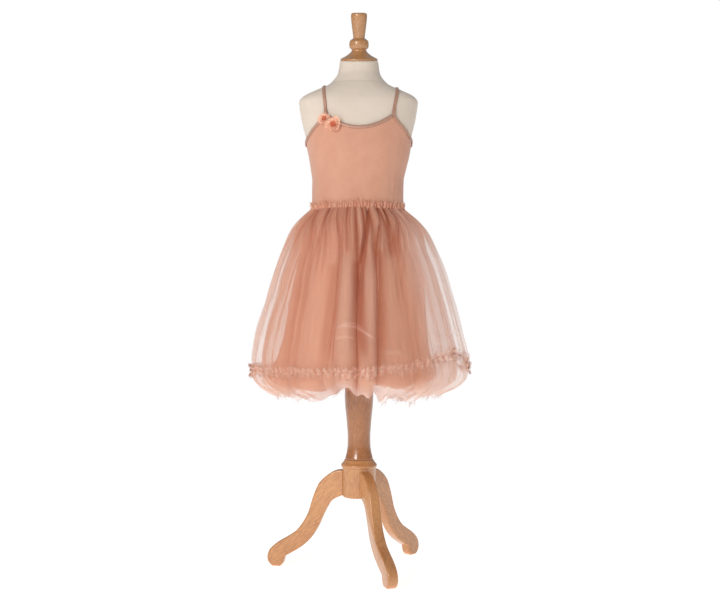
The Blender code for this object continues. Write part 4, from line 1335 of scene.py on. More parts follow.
def merged_by_place(mesh):
    """Close a mesh where its points meet, and take out the faces that vanish."""
    with shaped(mesh) as shape:
        bmesh.ops.remove_doubles(shape, verts=shape.verts, dist=0.001 * MM)
        bmesh.ops.recalc_face_normals(shape, faces=shape.faces)


def profile_points(profile, fineness=0.8 * MM):
    """A turned piece's side as points of radius and height, closed to the axis at both ends."""
    rows = sorted(profile, key=lambda row: row.height)
    heights = np.array([row.height for row in rows]) * MM
    radii = np.array([row.radius for row in rows]) * MM
    levels = [heights[:1]]
    for low, high in zip(heights, heights[1:]):
        count = max(3, int(np.ceil((high - low) / (fineness * (1 if high - low < 12 * MM else 4)))))
        levels.append(np.linspace(low, high, count + 1)[1:])
    levels = np.concatenate(levels)
    sides = eased(heights, radii, levels)
    ends = [(0, levels[0]), *zip(sides, levels), (0, levels[-1])]
    return [(radius - SPINDLE, -level, 0) for radius, level in ends]


def turned_piece(name, profile, steps, material, pattern):
    """A turned piece, made from its profile by the lathe pattern."""
    points = profile_points(profile)
    line = line_mesh(name, points, [(low, low + 1) for low in range(len(points) - 1)])
    piece = pattern.applied(new_piece(name, line, material), {"Steps": steps, "Material": material})
    merged_by_place(piece.data)
    smooth_shaded(piece.data, 38)
    return piece


def leg_outline():
    """A leg's outline: down its top edge to the toe, along the foot and up its under edge."""
    outline = []
    for knots, count in ((LEG_TOP_EDGE, 74), (LEG_HEEL, 10), (LEG_UNDER_EDGE, 50)):
        points = curve_through(np.array(knots) * MM, count)
        outline.append(points[1:] if knots is LEG_UNDER_EDGE else points)
    return np.concatenate(outline)


def make_leg(name, turn, wood, rounding, seat):
    """One sawn leg, rounded along its edges and cut to sit on the hub."""
    outline = leg_outline()
    half = LEG_THICKNESS / 2
    mesh = bpy.data.meshes.new(name)
    with shaped(mesh) as shape:
        ring = [shape.verts.new((reach, -half, height)) for reach, height in outline]
        flat = shape.faces.new(ring)
        thick = bmesh.ops.extrude_face_region(shape, geom=[flat])
        moved = [item for item in thick["geom"] if isinstance(item, bmesh.types.BMVert)]
        bmesh.ops.translate(shape, vec=(0, LEG_THICKNESS, 0), verts=moved)
        bmesh.ops.recalc_face_normals(shape, faces=shape.faces)
    leg = new_piece(name, mesh, wood)
    soften = leg.modifiers.new("Rounding", "BEVEL")
    soften.width = rounding
    soften.segments = 6
    soften.limit_method = "ANGLE"
    soften.angle_limit = radians(60)
    cut = leg.modifiers.new("Seating", "BOOLEAN")
    cut.operation = "DIFFERENCE"
    cut.object = seat
    baked(leg)
    mark_points(leg.data, {"board": vertex_places(leg.data) + [radians(turn), 0, 0]})
    leg.data.transform(Matrix.Rotation(radians(turn), 4, "Z"))
    smooth_shaded(leg.data, 35)
    return leg


def make_stand(settings):
    """The finial, post, hub and legs of turned and sawn wood."""
    def upright(finish):
        return finish.scaled(finish.object_place(), 1, 1, 1)

    def along_leg(finish):
        return finish.add("ShaderNodeMapping", None, {
            "Vector": finish.attribute("board", 1), "Rotation": (0, LEG_GRAIN_TURN, 0)})

    light = wood_finish("finial_wood", settings.finial, settings.finial_late, upright)
    pale = wood_finish("pale_wood", settings.pale, settings.pale_late, upright)
    dark = wood_finish("dark_wood", settings.dark, settings.dark_late, upright)
    sawn = wood_finish("sawn_wood", settings.pale, settings.pale_late, along_leg)
    lathe = lathe_pattern()
    lean = Matrix.Translation((0, 0, NECK_TOP)) @ Matrix.Rotation(NECK_LEAN, 4, "X") \
        @ Matrix.Translation((0, 0, -NECK_TOP))
    for name, profile, wood, slot in (("finial", FINIAL_PROFILE, light, "pale_wood"),
                                      ("post", POST_PROFILE, dark, "dark_wood"),
                                      ("hub", HUB_PROFILE, pale, "pale_wood")):
        piece = turned_piece(name + "_turned", profile, settings.steps, wood, lathe)
        if name == "finial":
            piece.data.transform(lean)
        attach(piece, "root")
        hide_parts(name)
    cylinder = bpy.data.meshes.new("seat")
    with shaped(cylinder) as shape:
        bmesh.ops.create_cone(shape, cap_ends=True, segments=112, radius1=SEAT_RADIUS,
                              radius2=SEAT_RADIUS, depth=SEAT_DEPTH)
    seat = new_piece("seat", cylinder, pale)
    seat.location.z = SEAT_HEIGHT
    bpy.context.view_layer.update()
    for name, turn in LEG_TURNS.items():
        leg = make_leg(name + "_sawn", turn, sawn, settings.leg_rounding, seat)
        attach(leg, "root")
        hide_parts(name)
    bpy.data.objects.remove(seat, do_unlink=True)


def strap_foot_across(side):
    """How far across the straps' feet lie on some sides, -1 or 1."""
    return np.where(np.asarray(side) > 0, STRAP_FOOT_ACROSS[1], STRAP_FOOT_ACROSS[-1])


def neckline(across, side, facing):
    """The height of the neckline at places across, on a front or back panel."""
    low = NECK_LOW[facing]
    return low + (STRAP_FOOT - low) * (across / strap_foot_across(side)) ** 2


def half_edge(side, facing):
    """The cut edge of the bodice from its middle to the underarm, as turns and heights."""
    foot = STRAP_FOOT_ACROSS[side]
    across = np.linspace(0, foot, 40)
    neck = np.stack((across, neckline(across, side, facing)), axis=1)
    arm = [(foot, STRAP_FOOT)] + [(edge.across * MM, edge.height * MM) for edge in ARMHOLE]
    line = np.concatenate((neck, curve_through(arm, 44)[1:]))
    share = (line[:, 0] * side - FORM.at("sway", line[:, 1])) * side
    share = np.clip(share / (FORM.at("half_width", line[:, 1]) + BODICE_OUT), 0, 1)
    turns = np.degrees(np.arcsin(share ** (FORM_POWER / 2)))
    turns[0] = 0
    rest = np.linspace(0, 1, 9)[1:]
    turns = np.concatenate((turns, turns[-1] + (SIDE_SEAM - turns[-1]) * rest))
    heights = np.concatenate((line[:, 1], line[-1, 1] + (UNDERARM - line[-1, 1]) * rest))
    return turns, heights


def bodice_edge():
    """The bodice's whole upper edge, from the left side seam round the front and the back."""
    turns, heights = [], []
    for facing, middle in ((FRONT, 0), (BACK, 180)):
        for side in ((-1, 1) if facing == FRONT else (1, -1)):
            angle, level = half_edge(side, facing)
            angle = angle * side if facing == FRONT else middle - angle * side
            order = slice(None, None, -1) if (side == -1) == (facing == FRONT) else slice(None)
            turns.append(angle[order][:-1])
            heights.append(level[order][:-1])
    return np.concatenate(turns), np.concatenate(heights)


def make_bodice(settings):
    """The jersey bodice, stretched over the form from the waist to its necklines."""
    turns, tops = bodice_edge()
    shares = np.linspace(1, 0, BODICE_ROWS)[None]
    height = BODICE_FOOT + (tops[:, None] - BODICE_FOOT) * shares
    turn = turns[:, None]
    strength = 0.3 + 0.7 * STRENGTH.at(turn, height, 6) ** 2
    pull = BODICE_CREASE * CRUMPLE.at(turn, height, 9) * strength
    near_waist = np.exp(-((height - BODICE_GATHERS_AT) / BODICE_GATHERS_REACH) ** 2)
    low = near_waist * BODICE_GATHERS * PLEATS.at(turn, height, 3)
    side = np.abs((turn - SIDE_SEAM + 90) % 180 - 90)
    seam = np.exp(-(side / SIDE_SEAM_HALF) ** 2) * SIDE_SEAM_DEPTH
    grid = form_points(turn, height, BODICE_OUT + np.clip(pull + low, -0.8 * MM, 1.2 * MM) - seam)
    lengths = np.linspace(0, tops.mean() - BODICE_FOOT, BODICE_ROWS)
    mesh = grid_mesh("bodice", grid, True, (0.585, lengths))
    cloth = knit_finish("bodice_jersey", settings.colour, settings.shade, 1.0 * MM, 0.7, 0.35)
    bodice = with_wall(new_piece("bodice", mesh, cloth), settings.thickness)
    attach(bodice, "root")
    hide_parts("bodice_front", "bodice_back")


def armhole_route(side):
    """Points round an armhole and over the shoulder, as a closed loop on the form's skin."""
    rows = np.array(ARMHOLE) * MM
    foot, top = STRAP_FOOT_ACROSS[side], STRAP_TOP_ACROSS[side]
    deep, tall = STRAP_ARCH
    under = skin_points(side * FORM.at("half_width", UNDERARM), UNDERARM, FRONT)[None]
    front = skin_points(side * rows[::-1, 0], rows[::-1, 1], FRONT)
    angle = np.radians(np.arange(0, 181, 10))
    arch = joined(side * (foot + (top - foot) * np.sin(angle)), -deep * np.cos(angle),
                  STRAP_FOOT + tall * np.sin(angle))
    back = skin_points(side * rows[:, 0], rows[:, 1], BACK)
    return np.concatenate((under, front, on_form(arch), back))


def strap_out(height):
    """How far out of the form a binding lies: over the bodice, or down on the bare form."""
    start = STRAP_FOOT + STRAP_SLOPE_ABOVE
    over_form = step(start, start + STRAP_SLOPE_HEIGHT, height)
    return BINDING_OUT * (1 - over_form) + STRAP_GAP * over_form


def tape_rings(spots, lows, widths, ahead):
    """Rounded sections of folded tape along a route on the form.

    They come with how near its edge each point of a section lies, which the satin finish darkens
    as painted shade, and the directions across the tape. The half that lies past the cloth's edge
    turns down to the form.
    """
    cross = unit(np.cross(ahead, form_rise(on_form(spots))))
    upward = np.clip(cross[:, 2] * 4, -1, 1)
    rings, edges = [], []
    crown = (1 - np.abs(TAPE_SHARES) ** 3.5) ** 0.5
    for share, rise in zip(TAPE_SHARES, crown):
        wave = TAPE_WAVE * np.sin(np.arange(len(spots)) * 1.7 + share * 2)
        place = spots + cross * (widths / 2 * share)[:, None]
        past = np.clip(share * upward, 0, 1) ** 3
        rings.append(on_form(place, lows * (1 - 0.8 * past) + TAPE_EDGE + (TAPE_CROWN + wave) * rise))
        edges.append(abs(share) ** 3)
    for share in TAPE_UNDER_SHARES:
        past = np.clip(share * upward, 0, 1)
        place = spots + cross * (widths / 2 * share)[:, None]
        rings.append(on_form(place, lows * (1 - 0.8 * past) + TAPE_UNDERSIDE))
        edges.append(1)
    return np.stack(rings, axis=1), np.array(edges), cross


def tape_piece(name, rings, edges, looped, material):
    """A closed tape through its sections."""
    stations, around = rings.shape[:2]
    numbers = np.arange(stations * around).reshape(stations, around)
    along, beside = np.arange(stations if looped else stations - 1), np.arange(around)
    ahead, past = (along + 1) % stations, (beside + 1) % around
    corners = np.ix_(along, beside), np.ix_(along, past), np.ix_(ahead, past), np.ix_(ahead, beside)
    faces = np.stack([numbers[corner] for corner in corners], axis=-1)
    length = np.linalg.norm(np.diff(rings[:, 4], axis=0), axis=1).mean()
    spots = [np.broadcast_to(part, faces.shape[:2]) for part in
             (beside[None] * 0.9 * MM, beside[None] * 0.9 * MM + 0.9 * MM,
              along[:, None] * length, along[:, None] * length + length)]
    pairs = ((0, 2), (1, 2), (1, 3), (0, 3))
    places = np.stack([np.stack((spots[x], spots[y]), axis=-1) for x, y in pairs], axis=2)
    # The edge mark: painted shade towards the tape's rolled edges and on its underside
    mesh = faces_mesh(name, rings, faces, places, {"edge": np.broadcast_to(edges, (stations, around))})
    with shaped(mesh) as shape:
        if not looped:
            shape.verts.ensure_lookup_table()
            for end in (numbers[0], numbers[-1]):
                shape.faces.new([shape.verts[number] for number in end])
        bmesh.ops.recalc_face_normals(shape, faces=shape.faces)
    return new_piece(name, mesh, material)


def stitch_marks(spots, ahead, pitch):
    """Points for stitches along a route, closer together than its stations, and their directions."""
    runs = np.concatenate(([0], np.cumsum(np.linalg.norm(np.diff(spots, axis=0), axis=1))))
    marks = np.arange(pitch / 2, runs[-1], pitch)
    places, aims = (np.stack([np.interp(marks, runs, axis) for axis in rows.T], axis=1)
                    for rows in (spots, ahead))
    return places, unit(aims)


def make_bindings(settings):
    """The armhole bindings, which run on as the straps, and the neckline bindings."""
    satin = satin_finish("satin_binding", settings.binding, settings.binding_dark)
    routes = []
    for name, side in (("strap_left", -1), ("strap_right", 1)):
        spots = curve_through(armhole_route(side), 300, looped=True)
        ahead = unit(np.roll(spots, -1, axis=0) - np.roll(spots, 1, axis=0))
        widths = BINDING_WIDTH * (1 - 0.1 * step(STRAP_FOOT, STRAP_FOOT + 10 * MM, spots[:, 2]))
        routes.append((name, "armhole_" + name, True, spots, ahead, strap_out(spots[:, 2]), widths))
    for name, facing in (("neck_binding_front", FRONT), ("neck_binding_back", BACK)):
        share = np.linspace(-1, 1, 90)
        side = np.where(share > 0, 1, -1)
        across = share * (strap_foot_across(side) - NECK_TAPE_END)
        spots = skin_points(across, neckline(across, side, facing), facing)
        ahead = unit(np.gradient(spots, axis=0))
        even = np.ones(len(spots))
        routes.append((name + "_tape", name, False, spots, ahead, even * BINDING_OUT,
                       even * BINDING_WIDTH))
    seams = []
    for name, node, looped, spots, ahead, lows, widths in routes:
        rings, edges, cross = tape_rings(spots, lows, widths, ahead)
        tape = tape_piece(name, rings, edges, looped, satin)
        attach(tape, "root")
        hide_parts(node)
        for share in (-STITCH_LINE, STITCH_LINE):
            seam = on_form(spots + cross * (widths / 2 * share)[:, None], lows + STITCH_OUT)
            seams.append(stitch_marks(seam, ahead, settings.stitch * STITCH_PITCH))
    cotton = plain_finish("stitch_thread", settings.thread, settings.binding_dark, 0.7, 1 * MM,
                          0.1 * MM)
    points, ahead = (np.concatenate(part) for part in zip(*seams))
    line = line_mesh("stitches", points, [], {"ahead": ahead})
    stitches = stitch_pattern().applied(new_piece("stitches", line, cotton), {
        "Length": settings.stitch, "Thread": STITCH_THREAD, "Material": cotton})
    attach(stitches, "root")


def make_lining(settings):
    """The opaque lining, a tube whose gathered foot turns in below the knee of the skirt."""
    columns, rows = LINING_GRID
    turn = turns_round(columns)
    height = LINING.even_heights(rows)[None]
    grid, valley = lining_shape(turn, height)
    # Painted shade: the lining is darker in its troughs, and darker still towards its turned-in foot
    valley = valley + 0.6 * (1 - step(*PAINTED_SHADE_LINING_FOOT, height))
    flat = (run_widths(grid).max(), run_lengths(grid))
    mesh = grid_mesh("lining", grid, True, flat, {"valley": valley})
    finish = Finish("skirt_lining")
    place = finish.cloth_place()
    weave = finish.part(place, 0).wave(0.7 * MM) * 0.5 + finish.part(place, 1).wave(0.7 * MM) * 0.5
    streak = finish.noise(place, (160, 8, 0))
    cloud = finish.noise(place, (14, 9, 0))
    # The trough colour comes in as painted shade from the valley mark, and as random tone
    dark = (finish.attribute("valley") * 0.7 + streak.between(0.4, 0.8) * 0.25
            + cloud.between(0.45, 0.8) * 0.2)
    cotton = finish.surface({
        "Base Color": finish.mix(settings.lining, settings.lining_deep, dark),
        "Roughness": streak * 0.15 + 0.7,
        "Sheen Weight": 0.2,
        "Normal": finish.bump(weave * 0.3 + streak * 0.7, 0.5 * MM, 0.5),
    })
    lining = with_wall(new_piece("lining", mesh, cotton), LINING_WALL)
    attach(lining, "root")
    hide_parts("lining_skirt_front", "lining_skirt_back")


def tulle_piece(name, size, settings, finish, inside=0.0, fold_share=1.0, closer=0.0):
    """One layer of tulle round the skirt, with its marks for the finish."""
    columns, rows = size
    turn = turns_round(columns)
    height = SKIRT.even_heights(rows, closer)[None]
    hang = inside * step(0, UNDER_TULLE_FALL, WAIST_SEAM - height)
    hang = hang + UNDER_TULLE_CLEAR * (inside > 0)
    grid, valley, wrinkle = skirt_shape(turn, height, settings.pleat, inside=hang,
                                        fold_share=fold_share)
    widths = run_widths(grid)
    fullness = widths.max() / (2 * np.pi * SKIRT.at("half_width", height[0])) * 1.25
    cover = 1 - (1 - settings.cover) ** np.clip(fullness, 1, 3.2)
    cover = cover * (1 + 0.6 * (1 - step(*THICK_HEM, height[0])))
    panel = panel_share(turn, height)
    sides = side_share(turn, 4)
    cover = cover * (1 + 0.2 * np.clip(valley, 0, 1.6)) + 0.22 * panel + 0.06 * sides
    run = run_lengths(grid)
    foot = np.broadcast_to(run[-1] - run, valley.shape)
    crisp = np.clip(wrinkle / CRISP_HEIGHT, 0, 1)
    # Painted light: the tulle is painted paler on its +X side, less so towards the waist
    painted_lit_side = step(*PAINTED_LIGHT_FROM, turn) * (1 - step(*PAINTED_LIGHT_TO, turn))
    painted_lit_side = painted_lit_side * (1 - 0.6 * step(*PAINTED_LIGHT_THINS, height))
    low = 1 - step(*PALE_HEM, foot)
    # The pale mark: paler towards the hem, a painted highlight on the wrinkles, the middle fold's extra
    # layer and the painted light on the +X side
    pale = (0.5 + 0.3 * sides) * low + 0.4 * crisp + 0.05 * panel + 0.78 * painted_lit_side
    # The valley mark: painted shade in the valleys, less on the painted-lit +X side and the sides, and
    # painted shade low on the front near the hem
    dark = valley * (1 - 0.75 * painted_lit_side) * (1 - 0.3 * sides) + 0.5 * low * (1 - sides)
    marks = {"valley": np.clip(dark, 0, 2), "cover": np.clip(cover, 0, 0.95),
             "crisp": crisp, "pale": np.clip(pale, 0, 0.95), "foot": foot}
    mesh = grid_mesh(name, grid, True, (widths.max(), run), marks)
    piece = new_piece(name, mesh, finish)
    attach(piece, "root")
    return piece


def make_tulle(settings):
    """Two sheer layers of tulle, gathered into the waist seam."""
    net = tulle_finish("skirt_tulle", settings)
    skirt = tulle_piece("tulle_skirt", TULLE_GRID, settings, net, closer=1.8)
    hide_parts("tulle_skirt_front", "tulle_skirt_back")
    inner_net = tulle_finish("under_tulle", settings, 1.6)
    under = tulle_piece("under_tulle", UNDER_TULLE_GRID, settings, inner_net,
                        inside=settings.under_gap, fold_share=0.75)


def unlifted(height, lift):
    """Heights before the hem was lifted."""
    before = height
    for _ in range(8):
        before = height - lift * lift_share(before)
    return before


def frill_finish(name, colour, deep, dark):
    """Crushed raw-edged net: more shade between its ruffles, thinner towards its edges."""
    finish = Finish(name)
    place = finish.cloth_place()
    net = finish.net(place, FRILL_CELL) ** 4
    crush = finish.noise(place, (260, 260, 0), 4, 0.65)
    speck = finish.noise(place, (900, 700, 0), 2)
    shading = finish.attribute("valley") * dark + (crush - 0.5) * 0.9 + (speck - 0.5) * 0.6
    cover = finish.attribute("cover") * (net * 0.25 + crush.between(0.3, 0.65) * 0.6
                                         + speck.between(0.35, 0.65) * 0.4 + 0.15)
    return finish.sheer_surface({
        "Base Color": finish.mix(colour, deep, shading.between(0.0, 1.0)),
        "Roughness": crush * 0.2 + 0.6,
        "Sheen Weight": 0.3,
        "Normal": finish.bump(crush, 0.6 * MM, 0.5),
    }, cover.capped(0.97), colour, 0.3)


def frayed(name, points, ahead, reach, material, thickness=0.16, waver=3.0):
    """Loose threads on some points, each along its direction."""
    line = line_mesh(name, points, [], {"ahead": unit(ahead), "reach": reach})
    threads = fray_pattern().applied(new_piece(name, line, material), {
        "Thread": thickness * MM, "Waver": waver * MM, "Material": material})
    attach(threads, "root")
    return threads


def thread_finish(name, colour, deep):
    return plain_finish(name, colour, deep, 0.7, 3 * MM, 0.05 * MM, Alpha=0.7)


def make_waist_frill(settings):
    """The raw gathered heading that stands above the waist seam."""
    columns, rows = WAIST_FRILL_GRID
    turn = turns_round(columns)
    share = np.linspace(1, 0, rows)[None]
    ruffle = RUFFLE.at(turn, share * 0.02, 8)
    crest = SKIRT_LAY.ridge(turn) * 0.4 + np.clip(0.5 + 0.6 * ruffle, 0, 1.2) * 0.8
    ragged = 1 + 0.3 * RAGGED.at(turn) + 0.16 * STRENGTH.at(turn)
    height = WAIST_FRILL_FOOT + (WAIST_SEAM + WAIST_FRILL_HEIGHT - WAIST_FRILL_FOOT) * share * ragged
    wave = WAIST_FRILL_WAVE * crest * (0.35 + 0.75 * share) * (1 - 0.6 * side_share(turn, 8))
    out = BODICE_OUT + WAIST_FRILL_GAP + wave
    rim = form_points(turn, height - waist_droop(turn, WAIST_SEAM), out)
    foot, _, _ = skirt_shape(turn, np.full_like(height, SKIRT.heights[-1]), skirt_settings().pleat)
    foot = foot + joined(0, 0, height - SKIRT.heights[-1])
    blend = step(0.0, 0.5, share)[..., None]
    grid = foot * (1 - blend) + rim * blend
    sewn = step(0.02, 0.28, share + 0.14 * RAGGED.at(turn) + 0.1 * ruffle)
    marks = {"valley": np.clip((1 - crest) * 1.3, 0, 2), "cover": (0.95 - 0.35 * share ** 3) * sewn}
    mesh = grid_mesh("waist_heading", grid, True, (1.5, run_lengths(grid)), marks)
    net = frill_finish("waist_tulle", settings.waist, skirt_settings().tulle_deep, 0.55)
    frill = new_piece("waist_heading", mesh, net)
    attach(frill, "root")
    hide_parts("waist_frill")
    dice = np.random.RandomState(4)
    picks = dice.randint(0, columns, settings.threads // 2)
    points = grid[picks, 0]
    ahead = 0.7 * unit(points * [1, 1, 0]) + [0, 0, 1] + dice.normal(0, 0.5, points.shape)
    cotton = thread_finish("waist_threads", settings.waist, skirt_settings().tulle_deep)
    reach = dice.uniform(0.2, 0.5, len(picks)) * settings.thread
    fray = frayed("waist_fray", points, ahead, reach, cotton)


def hem_frill_rows(turn, share):
    """Points of the strip round the hem, with how high on a ruffle and how covered each lies.

    The share runs from 1 at the strip's upper edge to -1 at its lower one.
    """
    knots = (turn + SIDE_SEAM) % 360 - SIDE_SEAM
    marks = [line.turn for line in HEM_FRILL_LINE]
    middle = eased(marks, [line.height for line in HEM_FRILL_LINE], knots)
    along = share * HEM_FRILL_WIDTH
    strength = 0.55 + 0.6 * np.abs(STRENGTH.at(turn, along, 20))
    crest = np.clip(0.5 + 0.55 * RUFFLE.at(turn, along, 22) * strength, 0, 1.3)
    sides = side_share(turn, 8)
    ragged = 1 + 0.3 * RAGGED.at(turn) + 0.14 * STRENGTH.at(turn)
    rise = HEM_FRILL_HALF * (1 - 0.3 * sides) * share * ragged + 1.2 * MM * RUFFLE.at(turn)
    off = np.abs(share)
    stand = HEM_FRILL_STAND * off ** 1.4 + HEM_FRILL_WAVE * crest * (0.35 + 0.65 * off)
    level = unlifted(middle * MM + rise, SKIRT_LAY.blended("lift", turn) * MM)
    points, _, _ = skirt_shape(turn, level, skirt_settings().pleat,
                               out=HEM_FRILL_GAP + (1 - 0.6 * sides) * stand)
    return points, crest, eased(marks, [line.cover for line in HEM_FRILL_LINE], knots)


def make_hem_frill(settings):
    """The gathered raw-edged strip round the hem, with its frayed threads."""
    columns, rows = HEM_FRILL_GRID
    turn = turns_round(columns)
    share = np.linspace(1, -1, rows)[None]
    grid, crest, presence = hem_frill_rows(turn, share)
    cover = settings.cover * (1.25 - 0.75 * np.abs(share) ** 2) * presence
    marks = {"valley": np.clip((1 - crest) * 1.2, 0, 2), "cover": cover}
    mesh = grid_mesh("hem_strip", grid, True, (2.6, run_lengths(grid)), marks)
    net = frill_finish("hem_tulle", settings.hem, skirt_settings().tulle_deep, 0.5)
    strip = new_piece("hem_strip", mesh, net)
    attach(strip, "root")
    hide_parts("hem_frill")
    dice = np.random.RandomState(9)
    edges, aims = [], []
    knot = np.exp(-((near_turn(turn[:, 0], -SIDE_SEAM) + SIDE_SEAM) / KNOT_HALF) ** 2)
    weights = presence[:, 0] + KNOT_WEIGHT * knot
    for end, up in ((0, 1.0), (rows - 1, -1.0), (rows // 2, 0.2)):
        picks = dice.choice(columns, settings.threads, p=weights / weights.sum())
        spots = grid[picks, end]
        edges.append(spots)
        aims.append(unit(spots * [1, 1, 0]) * 0.9 + [0, 0, up] + dice.normal(0, 0.55, spots.shape))
    cotton = thread_finish("hem_threads", settings.hem, skirt_settings().tulle_deep)
    points = np.concatenate(edges)
    reach = dice.uniform(0.25, 1.0, len(points)) * settings.thread
    fray = frayed("hem_fray", points, np.concatenate(aims), reach, cotton, 0.13)
    turns = [dice.uniform(0, 360, HANGING_THREADS)]
    turns += [dice.normal(middle, spread, count) for middle, spread, count in HANGING_TUFTS]
    turn = np.concatenate(turns)
    foot, _, _ = skirt_shape(turn, np.full(len(turn), HEM + 0.5 * MM), skirt_settings().pleat)
    down = dice.normal(0, 0.28, foot.shape) - [0, 0, 1]
    reach = dice.uniform(0.5, 2.1, len(foot)) * settings.thread
    hanging = frayed("hanging_threads", foot, down, reach, cotton, 0.12, 4.0)


def petal_mesh(name):
    """One petal of unit length along X: narrow at its root, ruffled and a little torn at its rim."""
    along, across = np.linspace(0.06, 1, 11), np.linspace(-1, 1, 9)
    reach, side = np.meshgrid(along, across, indexing="ij")
    width = 0.52 * np.sin(np.pi * np.clip(reach * 0.72 + 0.04, 0, 1)) ** 0.8
    torn = 1 + 0.09 * np.sin(side * 11 + 1) * reach ** 3 - 0.12 * side ** 2 * reach ** 2
    rise = 0.05 + 0.2 * reach ** 2 + 0.07 * np.sin(side * 5.5) * reach + 0.1 * side ** 2 * reach
    grid = joined(reach * torn, side * width, rise)
    return grid_mesh(name, grid, False, (0.01, np.linspace(0, 0.01, 9)))


def organza_finish(name, colour, deep, cover):
    """Crisp organza: veins from the middle, with tone and cover that waver."""
    finish = Finish(name)
    place = finish.cloth_place()
    vein = finish.noise(place, (300, 2200, 0))
    tint = finish.noise(finish.object_place(), (260, 260, 260), 2)
    shading = vein.between(0.35, 0.75) * 0.5 + tint.between(0.4, 0.7) * 0.4
    return finish.surface({
        "Base Color": finish.mix(colour, deep, shading),
        "Roughness": vein * 0.2 + 0.4,
        "Sheen Weight": 0.4,
        "Alpha": tint * 0.2 + (cover - 0.1),
        "Normal": finish.bump(vein, 0.25 * MM, 0.6),
    })


def on_chest(piece, flower, scale, lift):
    """Lay a blossom of unit size on the form where its flower is sewn."""
    middle = skin_points(flower.across * MM, flower.height * MM, FRONT)
    facing = unit(form_rise(middle))
    side = unit(np.cross([0, 0, 1], facing))
    up = np.cross(facing, side)
    spots = vertex_places(piece.data)
    swing = radians(flower.spin)
    reach = spots[:, 0] * np.cos(swing) - spots[:, 1] * np.sin(swing)
    climb = spots[:, 0] * np.sin(swing) + spots[:, 1] * np.cos(swing)
    flat = middle + np.outer(reach, side) * scale + np.outer(climb, up) * scale
    out = BINDING_OUT + 1.9 * MM + lift + spots[:, 2] * scale
    piece.data.vertices.foreach_set("co", on_form(flat, out).ravel())
    piece.data.update()


def make_flowers(settings):
    """Two organza flowers: pale petals in two rows round a coral rosette, with loose threads."""
    pale = organza_finish("petal_organza", settings.petal, skirt_settings().tulle, 0.8)
    coral = organza_finish("centre_organza", settings.centre, settings.knot, 0.95)
    dark = plain_finish("knot_thread", settings.knot, settings.centre, 0.6, 1 * MM, 0.1 * MM)
    blossom = blossom_pattern()
    layers = (("petals", 6, 1.0, 0.25, 0.0, pale), ("inner_petals", 5, 0.74, 0.5, 1.0, pale),
              ("rosette", 7, 0.46, 0.5, 1.9, coral), ("heart", 5, 0.28, 0.9, 2.6, coral))
    dice = np.random.RandomState(2)
    for number, flower in enumerate(FLOWERS, start=1):
        for index, (label, petals, size, tilt, lift, cloth) in enumerate(layers):
            name = f"flower_{number}_{label}"
            piece = blossom.applied(new_piece(name, petal_mesh(name), cloth), {
                "Petals": petals, "Seed": number * 10 + index, "Tilt": tilt, "Material": cloth})
            on_chest(piece, flower, flower.radius * MM * size, lift * MM)
            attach(piece, "root")
            if index == 0:
                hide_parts(f"flower_{number}")
        middle = skin_points(flower.across * MM, flower.height * MM, FRONT)
        roots = np.repeat(on_form(middle[None], BINDING_OUT + 5.5 * MM), 9, axis=0)
        roots = roots + dice.normal(0, 2.2 * MM, roots.shape) * [1, 0.1, 1]
        aims = dice.normal(0, 1, roots.shape) * [1, 0.2, 1] + [0, -0.5, -0.3]
        reach = dice.uniform(4, 9, len(roots)) * MM
        ends = frayed(f"flower_{number}_threads", roots, aims, reach, dark, 0.2, 2.5)


def skirt_settings():
    """The skirt's settings in the scene, which its frills and the flowers share."""
    return bpy.context.scene.tulle_dress.skirt


class BuildStage(bpy.types.Operator):
    """Make the floor, the lights and the camera"""
    bl_idname = "tulle_dress.stage"
    bl_label = "Stage"

    def execute(self, context):
        make_stage(context.scene.tulle_dress.stage)
        return {"FINISHED"}


class BuildForm(bpy.types.Operator):
    """Make the jersey-covered dress form"""
    bl_idname = "tulle_dress.form"
    bl_label = "Dress form"

    def execute(self, context):
        make_form(context.scene.tulle_dress.form)
        return {"FINISHED"}


class BuildStand(bpy.types.Operator):
    """Make the finial, post, hub and legs"""
    bl_idname = "tulle_dress.stand"
    bl_label = "Wooden stand"

    def execute(self, context):
        make_stand(context.scene.tulle_dress.wood)
        return {"FINISHED"}


class BuildBodice(bpy.types.Operator):
    """Make the stretched jersey bodice"""
    bl_idname = "tulle_dress.bodice"
    bl_label = "Bodice"

    def execute(self, context):
        make_bodice(context.scene.tulle_dress.bodice)
        return {"FINISHED"}


class BuildBindings(bpy.types.Operator):
    """Make the straps, the bindings and their stitches"""
    bl_idname = "tulle_dress.bindings"
    bl_label = "Straps and bindings"

    def execute(self, context):
        make_bindings(context.scene.tulle_dress.bodice)
        return {"FINISHED"}


class BuildLining(bpy.types.Operator):
    """Make the opaque lining of the skirt"""
    bl_idname = "tulle_dress.lining"
    bl_label = "Lining"

    def execute(self, context):
        make_lining(context.scene.tulle_dress.skirt)
        return {"FINISHED"}


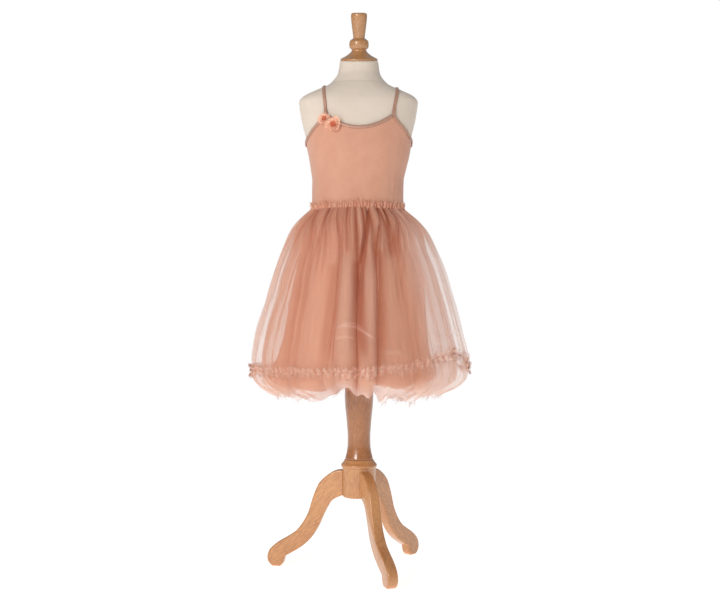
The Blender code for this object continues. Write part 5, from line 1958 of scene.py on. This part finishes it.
class BuildTulle(bpy.types.Operator):
    """Make the two layers of tulle"""
    bl_idname = "tulle_dress.tulle"
    bl_label = "Tulle layers"

    def execute(self, context):
        make_tulle(context.scene.tulle_dress.skirt)
        return {"FINISHED"}


class BuildFrills(bpy.types.Operator):
    """Make the raw frills at the waist and round the hem"""
    bl_idname = "tulle_dress.frills"
    bl_label = "Frills"

    def execute(self, context):
        make_waist_frill(context.scene.tulle_dress.frill)
        make_hem_frill(context.scene.tulle_dress.frill)
        return {"FINISHED"}


class BuildFlowers(bpy.types.Operator):
    """Make the two organza flowers"""
    bl_idname = "tulle_dress.flowers"
    bl_label = "Flowers"

    def execute(self, context):
        make_flowers(context.scene.tulle_dress.flower)
        return {"FINISHED"}


OPERATORS = (BuildStage, BuildForm, BuildStand, BuildBodice, BuildBindings, BuildLining, BuildTulle,
             BuildFrills, BuildFlowers)
GROUPS = (StageSettings, FormSettings, WoodSettings, BodiceSettings, SkirtSettings, FrillSettings,
          FlowerSettings, DressSettings)


class DressPanel(bpy.types.Panel):
    """The pieces of the dress and its stand"""
    bl_idname = "VIEW3D_PT_tulle_dress"
    bl_label = "Tulle Dress"
    bl_space_type = "VIEW_3D"
    bl_region_type = "UI"
    bl_category = "Tulle Dress"

    def draw(self, context):
        dress = context.scene.tulle_dress
        for operator in OPERATORS:
            self.layout.operator(operator.bl_idname, text=operator.bl_label)
        for name in DressSettings.__annotations__:
            group = getattr(dress, name)
            box = self.layout.box()
            box.label(text=name.capitalize())
            for setting in type(group).__annotations__:
                box.prop(group, setting)


def register():
    for item in GROUPS + OPERATORS + (DressPanel,):
        bpy.utils.register_class(item)
    bpy.types.Scene.tulle_dress = PointerProperty(type=DressSettings)


def unregister():
    del bpy.types.Scene.tulle_dress
    for item in reversed(GROUPS + OPERATORS + (DressPanel,)):
        bpy.utils.unregister_class(item)


def main():
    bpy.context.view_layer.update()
    register()
    for operator in OPERATORS:
        name = operator.bl_idname.split(".")[1]
        getattr(bpy.ops.tulle_dress, name)()


if __name__ == "__main__":
    main()
